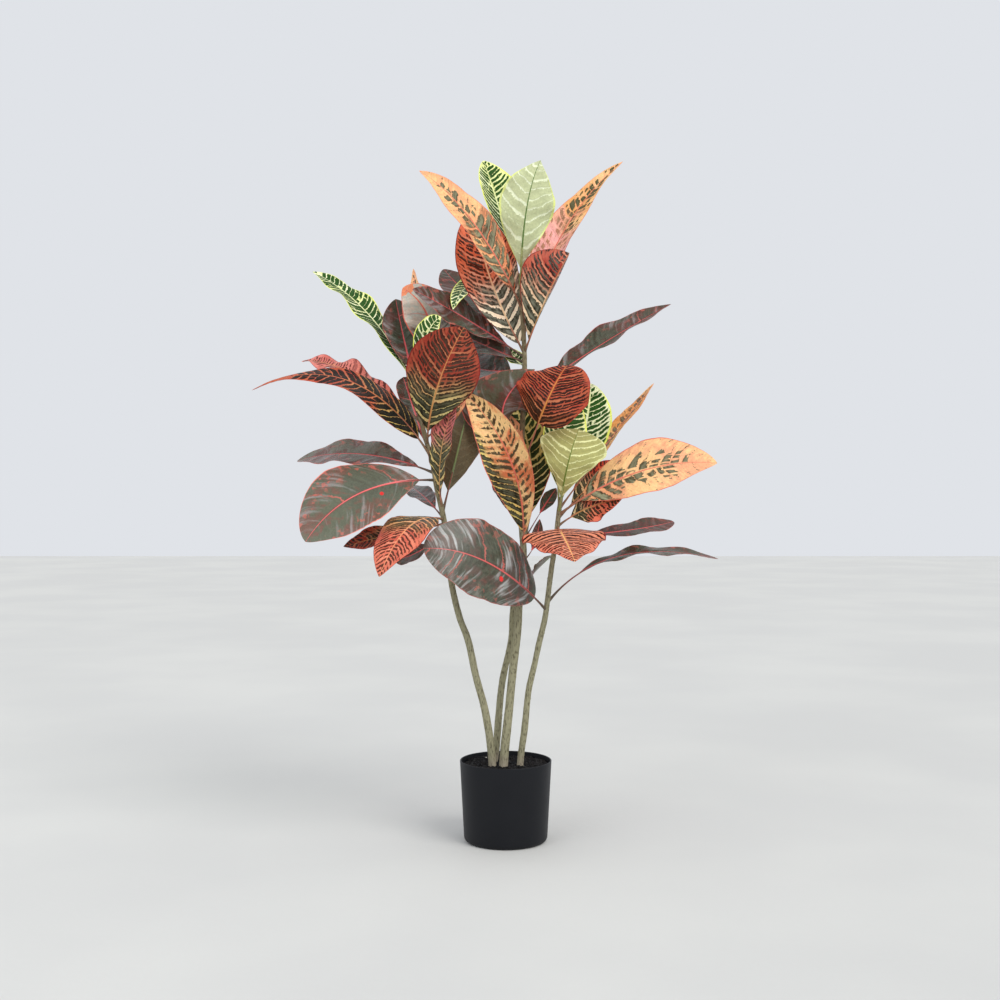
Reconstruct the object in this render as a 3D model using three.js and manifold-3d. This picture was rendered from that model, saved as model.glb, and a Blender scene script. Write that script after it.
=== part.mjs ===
// A potted croton, about 1.2 m tall, in a small black plastic pot.
// Millimetres, +Z up, +Y away from the front, origin at the middle of the pot's underside.
// Four woody stems lean apart out of the soil and carry single large leaves on stalks of their own.

import * as THREE from "three";
import { mergeVertices } from "three/addons/utils/BufferGeometryUtils.js";
import Module from "manifold-3d";

const wasm = await Module();
wasm.setup();

// ---------------------------------------------------------------- driving dimensions

const POT_RIM_DIAMETER = 160;
const POT_BASE_DIAMETER = 146;
const POT_HEIGHT = 140;
const POT_WALL = 2.4;
const POT_FLOOR = 4;
const POT_CORNER = 8;
const POT_SHOULDER = 10;
const POT_CORNER_STEPS = 4;
const POT_SIDES = 48;

const SOIL_TOP = 132;
const SOIL_LUMP = 2.2;
const SOIL_RINGS = 6;
const SOIL_SIDES = 24;
const SOIL_FOOT_RADIUS = 64;
const SOIL_EDGE_DROP = 2;

const CLEARANCE = 0.3;
const STEM_FOOT = 14;
const STEM_SIDES = 10;
const STEM_EXTRA_STEPS = 4;

const BLADE_THICKNESS = 0.8;
const BLADE_ROW_LENGTH = 30;
const BLADE_HALF_COLUMNS = 2;
const BLADE_START_WIDTH = 3;
const BLADE_TIP_WIDTH = 1.2;
const STALK_SIDES = 4;
const STALK_RADIUS = 2.3;
const STALK_STEP_LENGTH = 30;
const STALK_END_SHARE = 0.16;
const STALK_END_RADIUS = 1;

// Each stem's middle line from the soil to its top, its thickness at both ends, and its bark.
const STEMS = {
  left: {
    line: [[-23, -19, 133], [-35, -25, 226], [-52, -30, 292], [-65, -35, 353], [-79, -38, 391],
      [-92, -40, 445], [-106, -45, 560], [-118, -45, 613], [-126, -45, 659], [-137, -40, 697],
      [-150, -30, 749], [-159, -20, 802]],
    foot: 15, top: 7, bark: 0x958d6a,
  },
  rear: {
    line: [[-20, 30, 133], [-17, 31, 154], [-6, 33, 271], [10, 35, 345], [13, 36, 399],
      [33, 40, 523], [51, 40, 647], [54, 40, 719]],
    foot: 14, top: 8, bark: 0x7d7555,
  },
  centre: {
    line: [[-4, -19, 133], [5, -15, 224], [13, -12, 304], [21, -8, 369], [23, -5, 409],
      [31, 0, 494], [28, 0, 560], [28, 0, 681], [33, 0, 828], [32, 0, 870], [27, 0, 942], [25, 0, 990]],
    foot: 17, top: 7, bark: 0x9a9270,
  },
  right: {
    line: [[25, -10, 133], [33, -12, 198], [40, -14, 264], [50, -16, 309], [59, -18, 351],
      [67, -19, 384], [71, -20, 410], [75, -21, 443], [80, -22, 481], [87, -24, 525],
      [90, -25, 558], [95, -25, 598]],
    foot: 13, top: 8, bark: 0x958f6b,
  },
};

// The leaf colours, by kind: young ones are green and yellow, old ones orange, red or dark.
const LEAF_COLOURS = {
  young: 0x9fb457,
  green: 0x4f5a2e,
  orange: 0xe0935a,
  red: 0xb04a3a,
  dark: 0x5d5348,
};
const LEAF_ROUGHNESS = 0.45;

// One row for each leaf. height: where its stalk leaves the stem. stalk: the bare length.
// via and tip: the middle line's middle point and end. width: across the blade.
// face: where the upper side looks. fold and curl: degrees by which the left and right halves
// rise from the midrib, at the midrib and further out to the edge. wave: height of the edge's
// waves. widest: where along the blade it is widest. blunt: the outline's fullness, less is fuller.
const LEAVES = [
  { name: "top_green_back", kind: "young", stem: "centre", height: 975, stalk: 28,
    via: [-10, 55, 1110], tip: [-40, 85, 1210], width: 86, face: [0.1, -1, 0.15],
    fold: [48, 4], curl: [5, 6], wave: 4, widest: 0.58, blunt: 0.8 },
  { name: "top_pale_front", kind: "young", stem: "centre", height: 968, stalk: 22,
    via: [35, -40, 1090], tip: [60, -30, 1180], width: 100, face: [-0.05, 1, 0.1],
    fold: [10, 10], curl: [8, 8], wave: 6, widest: 0.52, blunt: 1.0 },
  { name: "top_orange_left", kind: "orange", stem: "centre", height: 930, stalk: 25,
    via: [-55, -60, 1065], tip: [-145, -95, 1145], width: 72, face: [0.45, -0.8, 0.35],
    fold: [12, 6], curl: [0, 10], wave: 4, widest: 0.42, blunt: 0.85 },
  { name: "top_red_left", kind: "red", stem: "centre", height: 850, stalk: 16,
    via: [-30, 0, 990], tip: [-50, 10, 1105], width: 106, face: [0.15, -0.95, 0.15],
    fold: [5, 8], curl: [8, 5], wave: 3, widest: 0.52, blunt: 0.65 },
  { name: "top_orange_right", kind: "orange", stem: "centre", height: 880, stalk: 30,
    via: [105, 85, 1080], tip: [215, 110, 1215], width: 76, face: [-0.4, -0.75, 0.45],
    fold: [20, 20], curl: [0, 0], wave: 4, widest: 0.33, blunt: 0.85 },
  { name: "top_red_right", kind: "red", stem: "centre", height: 852, stalk: 20,
    via: [70, -45, 940], tip: [110, -30, 1020], width: 122, face: [0.05, -1, 0.1],
    fold: [0, -82], curl: [5, -15], wave: 3, widest: 0.66, blunt: 0.6 },
  { name: "top_dark_left", kind: "dark", stem: "centre", height: 872, stalk: 30,
    via: [-55, 90, 955], tip: [-115, 150, 1025], width: 88, face: [0.25, -0.75, 0.6],
    fold: [8, 8], curl: [0, 0], wave: 4, widest: 0.55, blunt: 0.75 },
  { name: "top_dark_long", kind: "dark", stem: "centre", height: 843, stalk: 35,
    via: [-60, 0, 905], tip: [-160, -45, 955], width: 68, face: [0.1, -0.8, 0.6],
    fold: [10, 10], curl: [0, 0], wave: 4, widest: 0.62, blunt: 0.75 },
  { name: "top_dark_low", kind: "dark", stem: "centre", height: 835, stalk: 30,
    via: [-40, 35, 870], tip: [-125, 80, 915], width: 90, face: [0.1, -0.6, 0.8],
    fold: [8, 8], curl: [0, 0], wave: 3, widest: 0.55, blunt: 0.7 },
  { name: "top_dark_under", kind: "dark", stem: "centre", height: 822, stalk: 30,
    via: [-35, 40, 825], tip: [-100, 100, 850], width: 122, face: [0, -0.65, 0.76],
    fold: [8, 8], curl: [0, 0], wave: 3, widest: 0.55, blunt: 0.7 },
  { name: "top_green_bud", kind: "young", stem: "centre", height: 829, stalk: 14,
    via: [20, 20, 840], tip: [5, 40, 865], width: 32, face: [0, -0.8, 0.6],
    fold: [8, 8], curl: [0, 0], wave: 1, widest: 0.55, blunt: 0.8 },
  { name: "top_dark_right", kind: "dark", stem: "centre", height: 770, stalk: 70,
    via: [160, 60, 865], tip: [305, 120, 955], width: 80, face: [-0.25, -0.45, 0.85],
    fold: [20, 20], curl: [0, 0], wave: 4, widest: 0.5, blunt: 0.8 },
  { name: "top_green_low", kind: "young", stem: "centre", height: 885, stalk: 35,
    via: [-45, 40, 975], tip: [-90, -50, 920], width: 46, face: [-0.3, -0.85, 0.4],
    fold: [10, 10], curl: [0, 0], wave: 3, widest: 0.6, blunt: 0.8 },
  { name: "centre_dark", kind: "dark", stem: "centre", height: 690, stalk: 40,
    via: [-5, -45, 750], tip: [50, -25, 820], width: 150, face: [-0.2, -0.9, 0.35],
    fold: [0, -55], curl: [5, -10], wave: 3, widest: 0.38, blunt: 0.95 },
  { name: "centre_red_heart", kind: "red", stem: "centre", height: 640, stalk: 88,
    via: [65, -80, 750], tip: [105, -45, 825], width: 136, face: [-0.35, -0.88, 0.42],
    fold: [2, 5], curl: [-5, -15], wave: 5, widest: 0.45, blunt: 0.5 },
  { name: "centre_orange", kind: "orange", stem: "centre", height: 512, stalk: 25,
    via: [10, -80, 655], tip: [-70, -90, 775], width: 92, face: [-0.15, -0.9, 0.35],
    fold: [10, 35], curl: [0, 25], wave: 4, widest: 0.5, blunt: 0.8 },
  { name: "centre_dark_bud", kind: "dark", stem: "centre", height: 520, stalk: 60,
    via: [60, 20, 570], tip: [90, 35, 615], width: 26, face: [0, -0.8, 0.6],
    fold: [8, 8], curl: [0, 0], wave: 1, widest: 0.55, blunt: 0.8 },
  { name: "centre_dark_slip", kind: "dark", stem: "centre", height: 488, stalk: 30,
    via: [50, 10, 515], tip: [60, 20, 560], width: 20, face: [0, -0.8, 0.6],
    fold: [8, 8], curl: [0, 0], wave: 1, widest: 0.55, blunt: 0.8 },
  { name: "rear_green", kind: "green", stem: "rear", height: 535, stalk: 30,
    via: [45, 30, 655], tip: [15, 60, 765], width: 80, face: [-0.1, -1, 0.1],
    fold: [8, 8], curl: [5, 5], wave: 4, widest: 0.55, blunt: 0.8 },
  { name: "centre_orange_small", kind: "orange", stem: "centre", height: 605, stalk: 30,
    via: [20, 5, 685], tip: [-5, 15, 750], width: 44, face: [-0.6, -0.75, 0.2],
    fold: [8, 8], curl: [0, 0], wave: 3, widest: 0.55, blunt: 0.8 },
  { name: "left_red_front", kind: "red", stem: "left", height: 690, stalk: 25,
    via: [-115, -105, 780], tip: [-70, -115, 880], width: 124, face: [0.1, -1, 0.1],
    fold: [8, 10], curl: [5, 5], wave: 4, widest: 0.62, blunt: 0.75 },
  { name: "left_red_long", kind: "red", stem: "left", height: 668, stalk: 30,
    via: [-265, -75, 795], tip: [-430, -70, 780], width: 96, face: [0.15, -0.6, 0.75],
    fold: [10, -12], curl: [0, 0], wave: 4, widest: 0.28, blunt: 1.3 },
  { name: "left_pink_rear", kind: "red", stem: "left", height: 728, stalk: 40,
    via: [-275, 45, 820], tip: [-375, 120, 850], width: 54, face: [0.1, -0.55, 0.8],
    fold: [10, 10], curl: [0, 0], wave: 9, widest: 0.5, blunt: 0.7 },
  { name: "left_green", kind: "young", stem: "left", height: 782, stalk: 40,
    via: [-240, 55, 920], tip: [-355, 120, 1015], width: 54, face: [0.3, -0.6, 0.7],
    fold: [12, 12], curl: [0, 0], wave: 6, widest: 0.55, blunt: 0.7 },
  { name: "left_dark_top", kind: "dark", stem: "left", height: 774, stalk: 30,
    via: [-130, -10, 890], tip: [-180, 0, 965], width: 84, face: [-0.1, -0.85, 0.5],
    fold: [8, 8], curl: [0, 0], wave: 3, widest: 0.62, blunt: 0.62 },
  { name: "left_dark_side", kind: "dark", stem: "left", height: 799, stalk: 18,
    via: [-180, 20, 880], tip: [-195, 30, 950], width: 66, face: [0.1, -0.9, 0.4],
    fold: [8, 8], curl: [0, 0], wave: 3, widest: 0.6, blunt: 0.7 },
  { name: "left_orange_spike", kind: "orange", stem: "left", height: 788, stalk: 50,
    via: [-160, 70, 920], tip: [-170, 120, 1020], width: 40, face: [-0.8, -0.5, 0.2],
    fold: [8, 8], curl: [0, 0], wave: 3, widest: 0.55, blunt: 0.8 },
  { name: "left_green_small", kind: "young", stem: "left", height: 756, stalk: 32,
    via: [-140, -50, 860], tip: [-110, -60, 905], width: 46, face: [-0.3, -0.9, 0.3],
    fold: [8, 8], curl: [0, 0], wave: 2, widest: 0.55, blunt: 0.8 },
  { name: "left_dark_rear", kind: "dark", stem: "left", height: 650, stalk: 30,
    via: [-165, 0, 765], tip: [-180, 10, 810], width: 40, face: [0.2, -0.95, 0.2],
    fold: [8, 8], curl: [0, 0], wave: 3, widest: 0.55, blunt: 0.8 },
  { name: "left_orange_small", kind: "orange", stem: "left", height: 700, stalk: 30,
    via: [-100, -55, 735], tip: [-70, -55, 785], width: 36, face: [-0.3, -0.9, 0.2],
    fold: [8, 8], curl: [0, 0], wave: 2, widest: 0.55, blunt: 0.8 },
  { name: "left_pink_small", kind: "red", stem: "left", height: 575, stalk: 22,
    via: [-110, -70, 670], tip: [-85, -80, 760], width: 66, face: [-0.75, -0.6, 0.2],
    fold: [10, 10], curl: [0, 0], wave: 3, widest: 0.6, blunt: 0.7 },
  { name: "left_olive", kind: "dark", stem: "left", height: 572, stalk: 32,
    via: [-80, -30, 690], tip: [-60, -5, 780], width: 116, face: [0.15, 0.95, -0.2],
    fold: [60, 5], curl: [0, 5], wave: 3, widest: 0.56, blunt: 0.75 },
  { name: "left_dark_big", kind: "dark", stem: "left", height: 628, stalk: 25,
    via: [-245, -95, 605], tip: [-330, -130, 525], width: 138, face: [-0.15, -0.85, 0.5],
    fold: [5, 5], curl: [-5, -5], wave: 4, widest: 0.55, blunt: 0.7 },
  { name: "left_dark_upper", kind: "dark", stem: "left", height: 640, stalk: 30,
    via: [-255, 25, 675], tip: [-380, 95, 665], width: 84, face: [0.05, -0.6, 0.8],
    fold: [8, 8], curl: [0, 0], wave: 4, widest: 0.55, blunt: 0.75 },
  { name: "left_maroon_small", kind: "dark", stem: "left", height: 562, stalk: 40,
    via: [-145, 30, 600], tip: [-180, 130, 620], width: 48, face: [0, -0.5, 0.85],
    fold: [8, 8], curl: [0, 0], wave: 2, widest: 0.55, blunt: 0.8 },
  { name: "left_orange_droop", kind: "red", stem: "left", height: 560, stalk: 22,
    via: [-160, -115, 550], tip: [-205, -170, 470], width: 100, face: [-0.35, -0.65, 0.65],
    fold: [5, 5], curl: [-10, -10], wave: 4, widest: 0.5, blunt: 0.8 },
  { name: "left_red_tip", kind: "red", stem: "left", height: 553, stalk: 35,
    via: [-195, -60, 535], tip: [-275, -70, 515], width: 56, face: [-0.1, -0.6, 0.8],
    fold: [8, 8], curl: [0, 0], wave: 3, widest: 0.55, blunt: 0.8 },
  { name: "left_dark_low", kind: "dark", stem: "left", height: 540, stalk: 30,
    via: [-150, -30, 505], tip: [-195, -20, 490], width: 50, face: [0, -0.6, 0.8],
    fold: [8, 8], curl: [0, 0], wave: 2, widest: 0.55, blunt: 0.8 },
  { name: "right_pale_front", kind: "young", stem: "right", height: 574, stalk: 20,
    via: [105, -75, 655], tip: [125, -50, 715], width: 116, face: [0.15, 0.95, -0.2],
    fold: [5, 5], curl: [0, 0], wave: 4, widest: 0.72, blunt: 0.55 },
  { name: "right_green_rear", kind: "young", stem: "right", height: 594, stalk: 30,
    via: [135, 15, 700], tip: [155, 80, 805], width: 92, face: [-0.1, -1, 0.15],
    fold: [8, 8], curl: [0, 0], wave: 4, widest: 0.58, blunt: 0.75 },
  { name: "right_green_left", kind: "young", stem: "right", height: 582, stalk: 30,
    via: [95, -20, 685], tip: [125, -10, 770], width: 80, face: [0.3, -0.9, 0.2],
    fold: [8, 8], curl: [0, 0], wave: 4, widest: 0.58, blunt: 0.75 },
  { name: "right_orange_thin", kind: "orange", stem: "right", height: 578, stalk: 40,
    via: [190, 60, 705], tip: [275, 130, 810], width: 48, face: [-0.65, -0.4, 0.6],
    fold: [10, 10], curl: [0, 0], wave: 3, widest: 0.5, blunt: 0.85 },
  { name: "right_orange_big", kind: "orange", stem: "right", height: 568, stalk: 40,
    via: [220, -75, 640], tip: [350, -115, 655], width: 112, face: [0.1, -0.8, 0.6],
    fold: [8, 8], curl: [0, 0], wave: 4, widest: 0.52, blunt: 0.8 },
  { name: "right_red_upper", kind: "red", stem: "right", height: 562, stalk: 35,
    via: [150, 20, 620], tip: [205, 70, 665], width: 60, face: [-0.2, -0.8, 0.5],
    fold: [8, 8], curl: [0, 0], wave: 3, widest: 0.55, blunt: 0.8 },
  { name: "right_red_lower", kind: "red", stem: "right", height: 548, stalk: 30,
    via: [140, -45, 580], tip: [195, -80, 595], width: 72, face: [0, -0.85, 0.5],
    fold: [8, 8], curl: [0, 0], wave: 3, widest: 0.55, blunt: 0.8 },
  { name: "right_dark_mid", kind: "dark", stem: "right", height: 530, stalk: 45,
    via: [215, 30, 540], tip: [305, 85, 555], width: 48, face: [0.1, -0.5, 0.85],
    fold: [8, 8], curl: [0, 0], wave: 3, widest: 0.6, blunt: 0.6 },
  { name: "right_orange_front", kind: "red", stem: "right", height: 548, stalk: 16,
    via: [100, -105, 525], tip: [110, -185, 495], width: 142, face: [0, -0.45, 0.9],
    fold: [5, 5], curl: [-10, -10], wave: 4, widest: 0.32, blunt: 0.95 },
  { name: "right_dark_long", kind: "dark", stem: "right", height: 415, stalk: 80,
    via: [195, 0, 495], tip: [375, 20, 490], width: 52, face: [0.05, -0.25, 1],
    fold: [8, 8], curl: [0, 0], wave: 4, widest: 0.6, blunt: 0.7 },
  { name: "right_dark_inner", kind: "dark", stem: "right", height: 500, stalk: 18,
    via: [70, 30, 485], tip: [40, 80, 450], width: 46, face: [0.1, -0.7, 0.7],
    fold: [8, 8], curl: [0, 0], wave: 2, widest: 0.55, blunt: 0.8 },
  { name: "right_dark_big", kind: "dark", stem: "right", height: 403, stalk: 30,
    via: [-30, -115, 490], tip: [-135, -150, 515], width: 134, face: [0.1, -0.9, 0.4],
    fold: [5, 5], curl: [-5, -8], wave: 4, widest: 0.5, blunt: 0.55 },
  { name: "rear_dark_back", kind: "dark", stem: "rear", height: 700, stalk: 35,
    via: [75, 130, 750], tip: [90, 230, 795], width: 90, face: [-0.1, -0.6, 0.8],
    fold: [8, 8], curl: [0, 0], wave: 4, widest: 0.55, blunt: 0.75 },
  { name: "left_dark_back", kind: "dark", stem: "left", height: 715, stalk: 35,
    via: [-135, 70, 780], tip: [-125, 185, 845], width: 100, face: [0.1, -0.6, 0.8],
    fold: [8, 8], curl: [0, 0], wave: 4, widest: 0.55, blunt: 0.75 },
  { name: "centre_red_back", kind: "red", stem: "centre", height: 540, stalk: 42,
    via: [10, 110, 600], tip: [0, 195, 650], width: 62, face: [0, -0.5, 0.85],
    fold: [8, 8], curl: [0, 0], wave: 4, widest: 0.55, blunt: 0.75 },
  { name: "top_red_back", kind: "red", stem: "centre", height: 900, stalk: 35,
    via: [0, 85, 975], tip: [-15, 165, 1030], width: 72, face: [0.1, -0.6, 0.8],
    fold: [8, 8], curl: [0, 0], wave: 4, widest: 0.55, blunt: 0.75 },
];

// ---------------------------------------------------------------- solids

function vector([x, y, z]) {
  return new THREE.Vector3(x, y, z);
}

function radians(degrees) {
  return degrees * Math.PI / 180;
}

// A repeatable number from 0 to 1 for each whole number.
function draw(number) {
  const wide = Math.sin(number * 12.9898) * 43758.5453;
  return wide - Math.floor(wide);
}

// A closed mesh as a solid that can be joined and cut.
function solidOf(geometry) {
  const bare = geometry.clone();
  bare.deleteAttribute("normal");
  bare.deleteAttribute("uv");
  const merged = mergeVertices(bare, 1e-4);
  return new wasm.Manifold(new wasm.Mesh({
    numProp: 3,
    vertProperties: new Float32Array(merged.attributes.position.array),
    triVerts: new Uint32Array(merged.index.array),
  }));
}

function geometryOf(solid) {
  const mesh = solid.getMesh();
  const geometry = new THREE.BufferGeometry();
  geometry.setAttribute("position", new THREE.BufferAttribute(mesh.vertProperties, 3));
  geometry.setIndex(new THREE.BufferAttribute(mesh.triVerts, 1));
  geometry.computeVertexNormals();
  return geometry;
}

function indexed(points, faces) {
  const geometry = new THREE.BufferGeometry();
  geometry.setAttribute("position", new THREE.Float32BufferAttribute(points, 3));
  geometry.setIndex(faces);
  return geometry;
}

// A round bar along a curve whose radius may change, closed at both ends.
function taperedBar(curve, radiusAt, sides, steps) {
  const frames = curve.computeFrenetFrames(steps, false);
  const points = [];
  const faces = [];
  for (let i = 0; i <= steps; i += 1) {
    const centre = curve.getPointAt(i / steps);
    const radius = radiusAt(i / steps);
    for (let j = 0; j < sides; j += 1) {
      const angle = 2 * Math.PI * j / sides;
      const point = centre.clone()
        .addScaledVector(frames.normals[i], radius * Math.cos(angle))
        .addScaledVector(frames.binormals[i], radius * Math.sin(angle));
      points.push(point.x, point.y, point.z);
    }
  }
  for (let i = 0; i < steps; i += 1) {
    for (let j = 0; j < sides; j += 1) {
      const a = i * sides + j;
      const b = i * sides + (j + 1) % sides;
      faces.push(a, b, b + sides, a, b + sides, a + sides);
    }
  }
  const last = steps * sides;
  for (let j = 1; j < sides - 1; j += 1) {
    faces.push(0, j + 1, j);
    faces.push(last, last + j, last + j + 1);
  }
  return indexed(points, faces);
}

// ---------------------------------------------------------------- pot and soil

function potGeometry() {
  const outer = POT_BASE_DIAMETER / 2;
  const rim = POT_RIM_DIAMETER / 2;
  const profile = [new THREE.Vector2(0, 0)];
  for (let i = 0; i <= POT_CORNER_STEPS; i += 1) {
    const angle = Math.PI / 2 * i / POT_CORNER_STEPS;
    profile.push(new THREE.Vector2(
      outer - POT_CORNER + POT_CORNER * Math.sin(angle),
      POT_CORNER - POT_CORNER * Math.cos(angle),
    ));
  }
  profile.push(new THREE.Vector2(rim, POT_HEIGHT));
  profile.push(new THREE.Vector2(rim - POT_WALL, POT_HEIGHT));
  profile.push(new THREE.Vector2(outer - POT_WALL, POT_SHOULDER));
  profile.push(new THREE.Vector2(outer - POT_CORNER, POT_FLOOR));
  profile.push(new THREE.Vector2(0, POT_FLOOR));
  const geometry = new THREE.LatheGeometry(profile, POT_SIDES);
  geometry.rotateX(Math.PI / 2);
  return geometryOf(solidOf(geometry));
}

// The inside radius of the pot at a height, a clearance in from the wall.
function soilRadius(height) {
  const share = (height - POT_SHOULDER) / (POT_HEIGHT - POT_SHOULDER);
  const span = (POT_RIM_DIAMETER - POT_BASE_DIAMETER) / 2;
  const facet = Math.cos(Math.PI / POT_SIDES);
  return (POT_BASE_DIAMETER / 2 - POT_WALL + span * share) * facet - CLEARANCE;
}

// The fill of soil: a tapered round body with a lumpy top.
function soilGeometry(stemHoles) {
  const edge = SOIL_TOP - SOIL_LUMP;
  const points = [];
  const faces = [];
  const ring = (radius, heightAt) => {
    for (let j = 0; j < SOIL_SIDES; j += 1) {
      const angle = 2 * Math.PI * j / SOIL_SIDES;
      points.push(radius * Math.cos(angle), radius * Math.sin(angle), heightAt(j));
    }
  };
  ring(SOIL_FOOT_RADIUS, () => POT_FLOOR + CLEARANCE);
  ring(soilRadius(POT_SHOULDER), () => POT_SHOULDER);
  ring(soilRadius(edge), () => edge);
  for (let i = 1; i < SOIL_RINGS; i += 1) {
    const radius = (soilRadius(edge) - SOIL_EDGE_DROP) * (1 - i / SOIL_RINGS);
    ring(radius, (j) => SOIL_TOP + SOIL_LUMP * (draw(i * SOIL_SIDES + j) - 0.5));
  }
  const rings = SOIL_RINGS + 2;
  for (let i = 0; i < rings - 1; i += 1) {
    for (let j = 0; j < SOIL_SIDES; j += 1) {
      const a = i * SOIL_SIDES + j;
      const b = i * SOIL_SIDES + (j + 1) % SOIL_SIDES;
      faces.push(a, b, b + SOIL_SIDES, a, b + SOIL_SIDES, a + SOIL_SIDES);
    }
  }
  const underside = points.length / 3;
  points.push(0, 0, POT_FLOOR + CLEARANCE);
  points.push(0, 0, SOIL_TOP);
  const innermost = (rings - 1) * SOIL_SIDES;
  for (let j = 0; j < SOIL_SIDES; j += 1) {
    const next = (j + 1) % SOIL_SIDES;
    faces.push(underside, next, j);
    faces.push(underside + 1, innermost + j, innermost + next);
  }
  let solid = solidOf(indexed(points, faces));
  for (const hole of stemHoles) {
    solid = solid.subtract(hole);
  }
  return geometryOf(solid);
}

// ---------------------------------------------------------------- stems

function stemCurve(stem) {
  const [first] = stem.line;
  const foot = new THREE.Vector3(first[0], first[1], STEM_FOOT);
  return new THREE.CatmullRomCurve3([foot, ...stem.line.map(vector)], false, "centripetal");
}

// The stem as a bar; grown is added to its radius and taken off its lower end.
function stemGeometry(stem, grown) {
  const curve = stemCurve(stem);
  const steps = stem.line.length + STEM_EXTRA_STEPS;
  const radiusAt = (share) => (stem.foot + (stem.top - stem.foot) * share) / 2 + grown;
  const bar = taperedBar(curve, radiusAt, STEM_SIDES, steps);
  if (grown > 0) {
    const places = bar.attributes.position;
    for (let i = 0; i < STEM_SIDES; i += 1) {
      places.setZ(i, places.getZ(i) - grown);
    }
  }
  return bar;
}

// The point of a stem's middle line at a height.
function stemPoint(stem, height) {
  const curve = stemCurve(stem);
  let low = 0;
  let high = 1;
  for (let i = 0; i < 24; i += 1) {
    const middle = (low + high) / 2;
    if (curve.getPoint(middle).z < height) {
      low = middle;
    } else {
      high = middle;
    }
  }
  return curve.getPoint(low);
}

// ---------------------------------------------------------------- leaves

// The middle line of stalk and blade: it leaves the stem, passes through via and ends at the tip.
function leafCurve(leaf) {
  const start = stemPoint(STEMS[leaf.stem], leaf.height);
  const tip = vector(leaf.tip);
  const bend = vector(leaf.via).multiplyScalar(2).addScaledVector(start.clone().add(tip), -0.5);
  return new THREE.QuadraticBezierCurve3(start, bend, tip);
}

// Half the blade's width at a share of its length.
function halfWidth(leaf, share) {
  const power = Math.log(0.5) / Math.log(leaf.widest);
  const outline = Math.sin(Math.PI * share ** power) ** leaf.blunt;
  const least = BLADE_START_WIDTH + (BLADE_TIP_WIDTH - BLADE_START_WIDTH) * share;
  return Math.max(leaf.width / 2 * outline, least / 2);
}

// A point of the blade's middle layer. across runs from -1 (left edge) to 1 (right edge).
function bladePoint(leaf, number, curve, begin, share, across) {
  const along = begin + (1 - begin) * share;
  const centre = curve.getPoint(along);
  const tangent = curve.getTangent(along);
  const sideways = tangent.clone().cross(vector(leaf.face)).normalize();
  const normal = sideways.clone().cross(tangent);
  const side = across < 0 ? 0 : 1;
  const out = Math.abs(across);
  const reach = halfWidth(leaf, share) * out;
  const angle = radians(leaf.fold[side] + leaf.curl[side] * out / 2);
  const phase = 2 * Math.PI * draw(2 * number + side);
  const waves = 2 + Math.round(draw(number + 0.5));
  const rise = leaf.wave * out * out * Math.sin(Math.PI * share)
    * Math.sin(2 * Math.PI * waves * share + phase);
  return centre
    .addScaledVector(sideways, Math.sign(across) * reach * Math.cos(angle))
    .addScaledVector(normal, reach * Math.sin(angle) + rise);
}

// The blade: two layers of points, a thickness apart, split into triangles alike.
function bladeGeometry(leaf, number, curve, begin) {
  const rows = Math.max(4, Math.round(curve.getLength() * (1 - begin) / BLADE_ROW_LENGTH));
  const columns = 2 * BLADE_HALF_COLUMNS;
  const middle = [];
  for (let i = 0; i <= rows; i += 1) {
    const row = [];
    for (let j = 0; j <= columns; j += 1) {
      row.push(bladePoint(leaf, number, curve, begin, i / rows, 2 * j / columns - 1));
    }
    middle.push(row);
  }
  const points = [];
  for (const direction of [1, -1]) {
    for (let i = 0; i <= rows; i += 1) {
      for (let j = 0; j <= columns; j += 1) {
        const along = middle[Math.min(i + 1, rows)][j].clone().sub(middle[Math.max(i - 1, 0)][j]);
        const across = middle[i][Math.min(j + 1, columns)].clone()
          .sub(middle[i][Math.max(j - 1, 0)]);
        const lift = across.cross(along).normalize().multiplyScalar(direction * BLADE_THICKNESS / 2);
        const point = middle[i][j].clone().add(lift);
        points.push(point.x, point.y, point.z);
      }
    }
  }
  const stride = columns + 1;
  const layer = (rows + 1) * stride;
  const faces = [];
  for (let i = 0; i < rows; i += 1) {
    for (let j = 0; j < columns; j += 1) {
      const a = i * stride + j;
      const b = a + 1;
      const c = a + stride;
      const d = c + 1;
      faces.push(a, b, d, a, d, c);
      faces.push(a + layer, d + layer, b + layer, a + layer, c + layer, d + layer);
    }
  }
  const border = [];
  for (let j = 0; j < columns; j += 1) border.push(j);
  for (let i = 0; i < rows; i += 1) border.push(i * stride + columns);
  for (let j = columns; j > 0; j -= 1) border.push(rows * stride + j);
  for (let i = rows; i > 0; i -= 1) border.push(i * stride);
  border.forEach((a, i) => {
    const b = border[(i + 1) % border.length];
    faces.push(b, a, a + layer, b, a + layer, b + layer);
  });
  return indexed(points, faces);
}

// The stalk, from the stem's middle line to a little way into the blade.
function stalkGeometry(curve, begin) {
  const end = begin + (1 - begin) * STALK_END_SHARE;
  const start = curve.v0;
  const stretch = new THREE.QuadraticBezierCurve3(
    start,
    start.clone().lerp(curve.v1, end),
    curve.getPoint(end),
  );
  const steps = Math.max(2, Math.round(stretch.getLength() / STALK_STEP_LENGTH));
  const radiusAt = (share) => STALK_RADIUS + (STALK_END_RADIUS - STALK_RADIUS) * share;
  return taperedBar(stretch, radiusAt, STALK_SIDES, steps);
}

function leafGeometry(leaf, number, stemKeepOut) {
  const curve = leafCurve(leaf);
  const begin = leaf.stalk / curve.getLength();
  const blade = solidOf(bladeGeometry(leaf, number, curve, begin));
  const stalk = solidOf(stalkGeometry(curve, begin));
  return geometryOf(blade.add(stalk).subtract(stemKeepOut));
}

// ---------------------------------------------------------------- assembly

function matt(colour, roughness) {
  return new THREE.MeshStandardMaterial({ color: colour, roughness, metalness: 0 });
}

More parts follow.
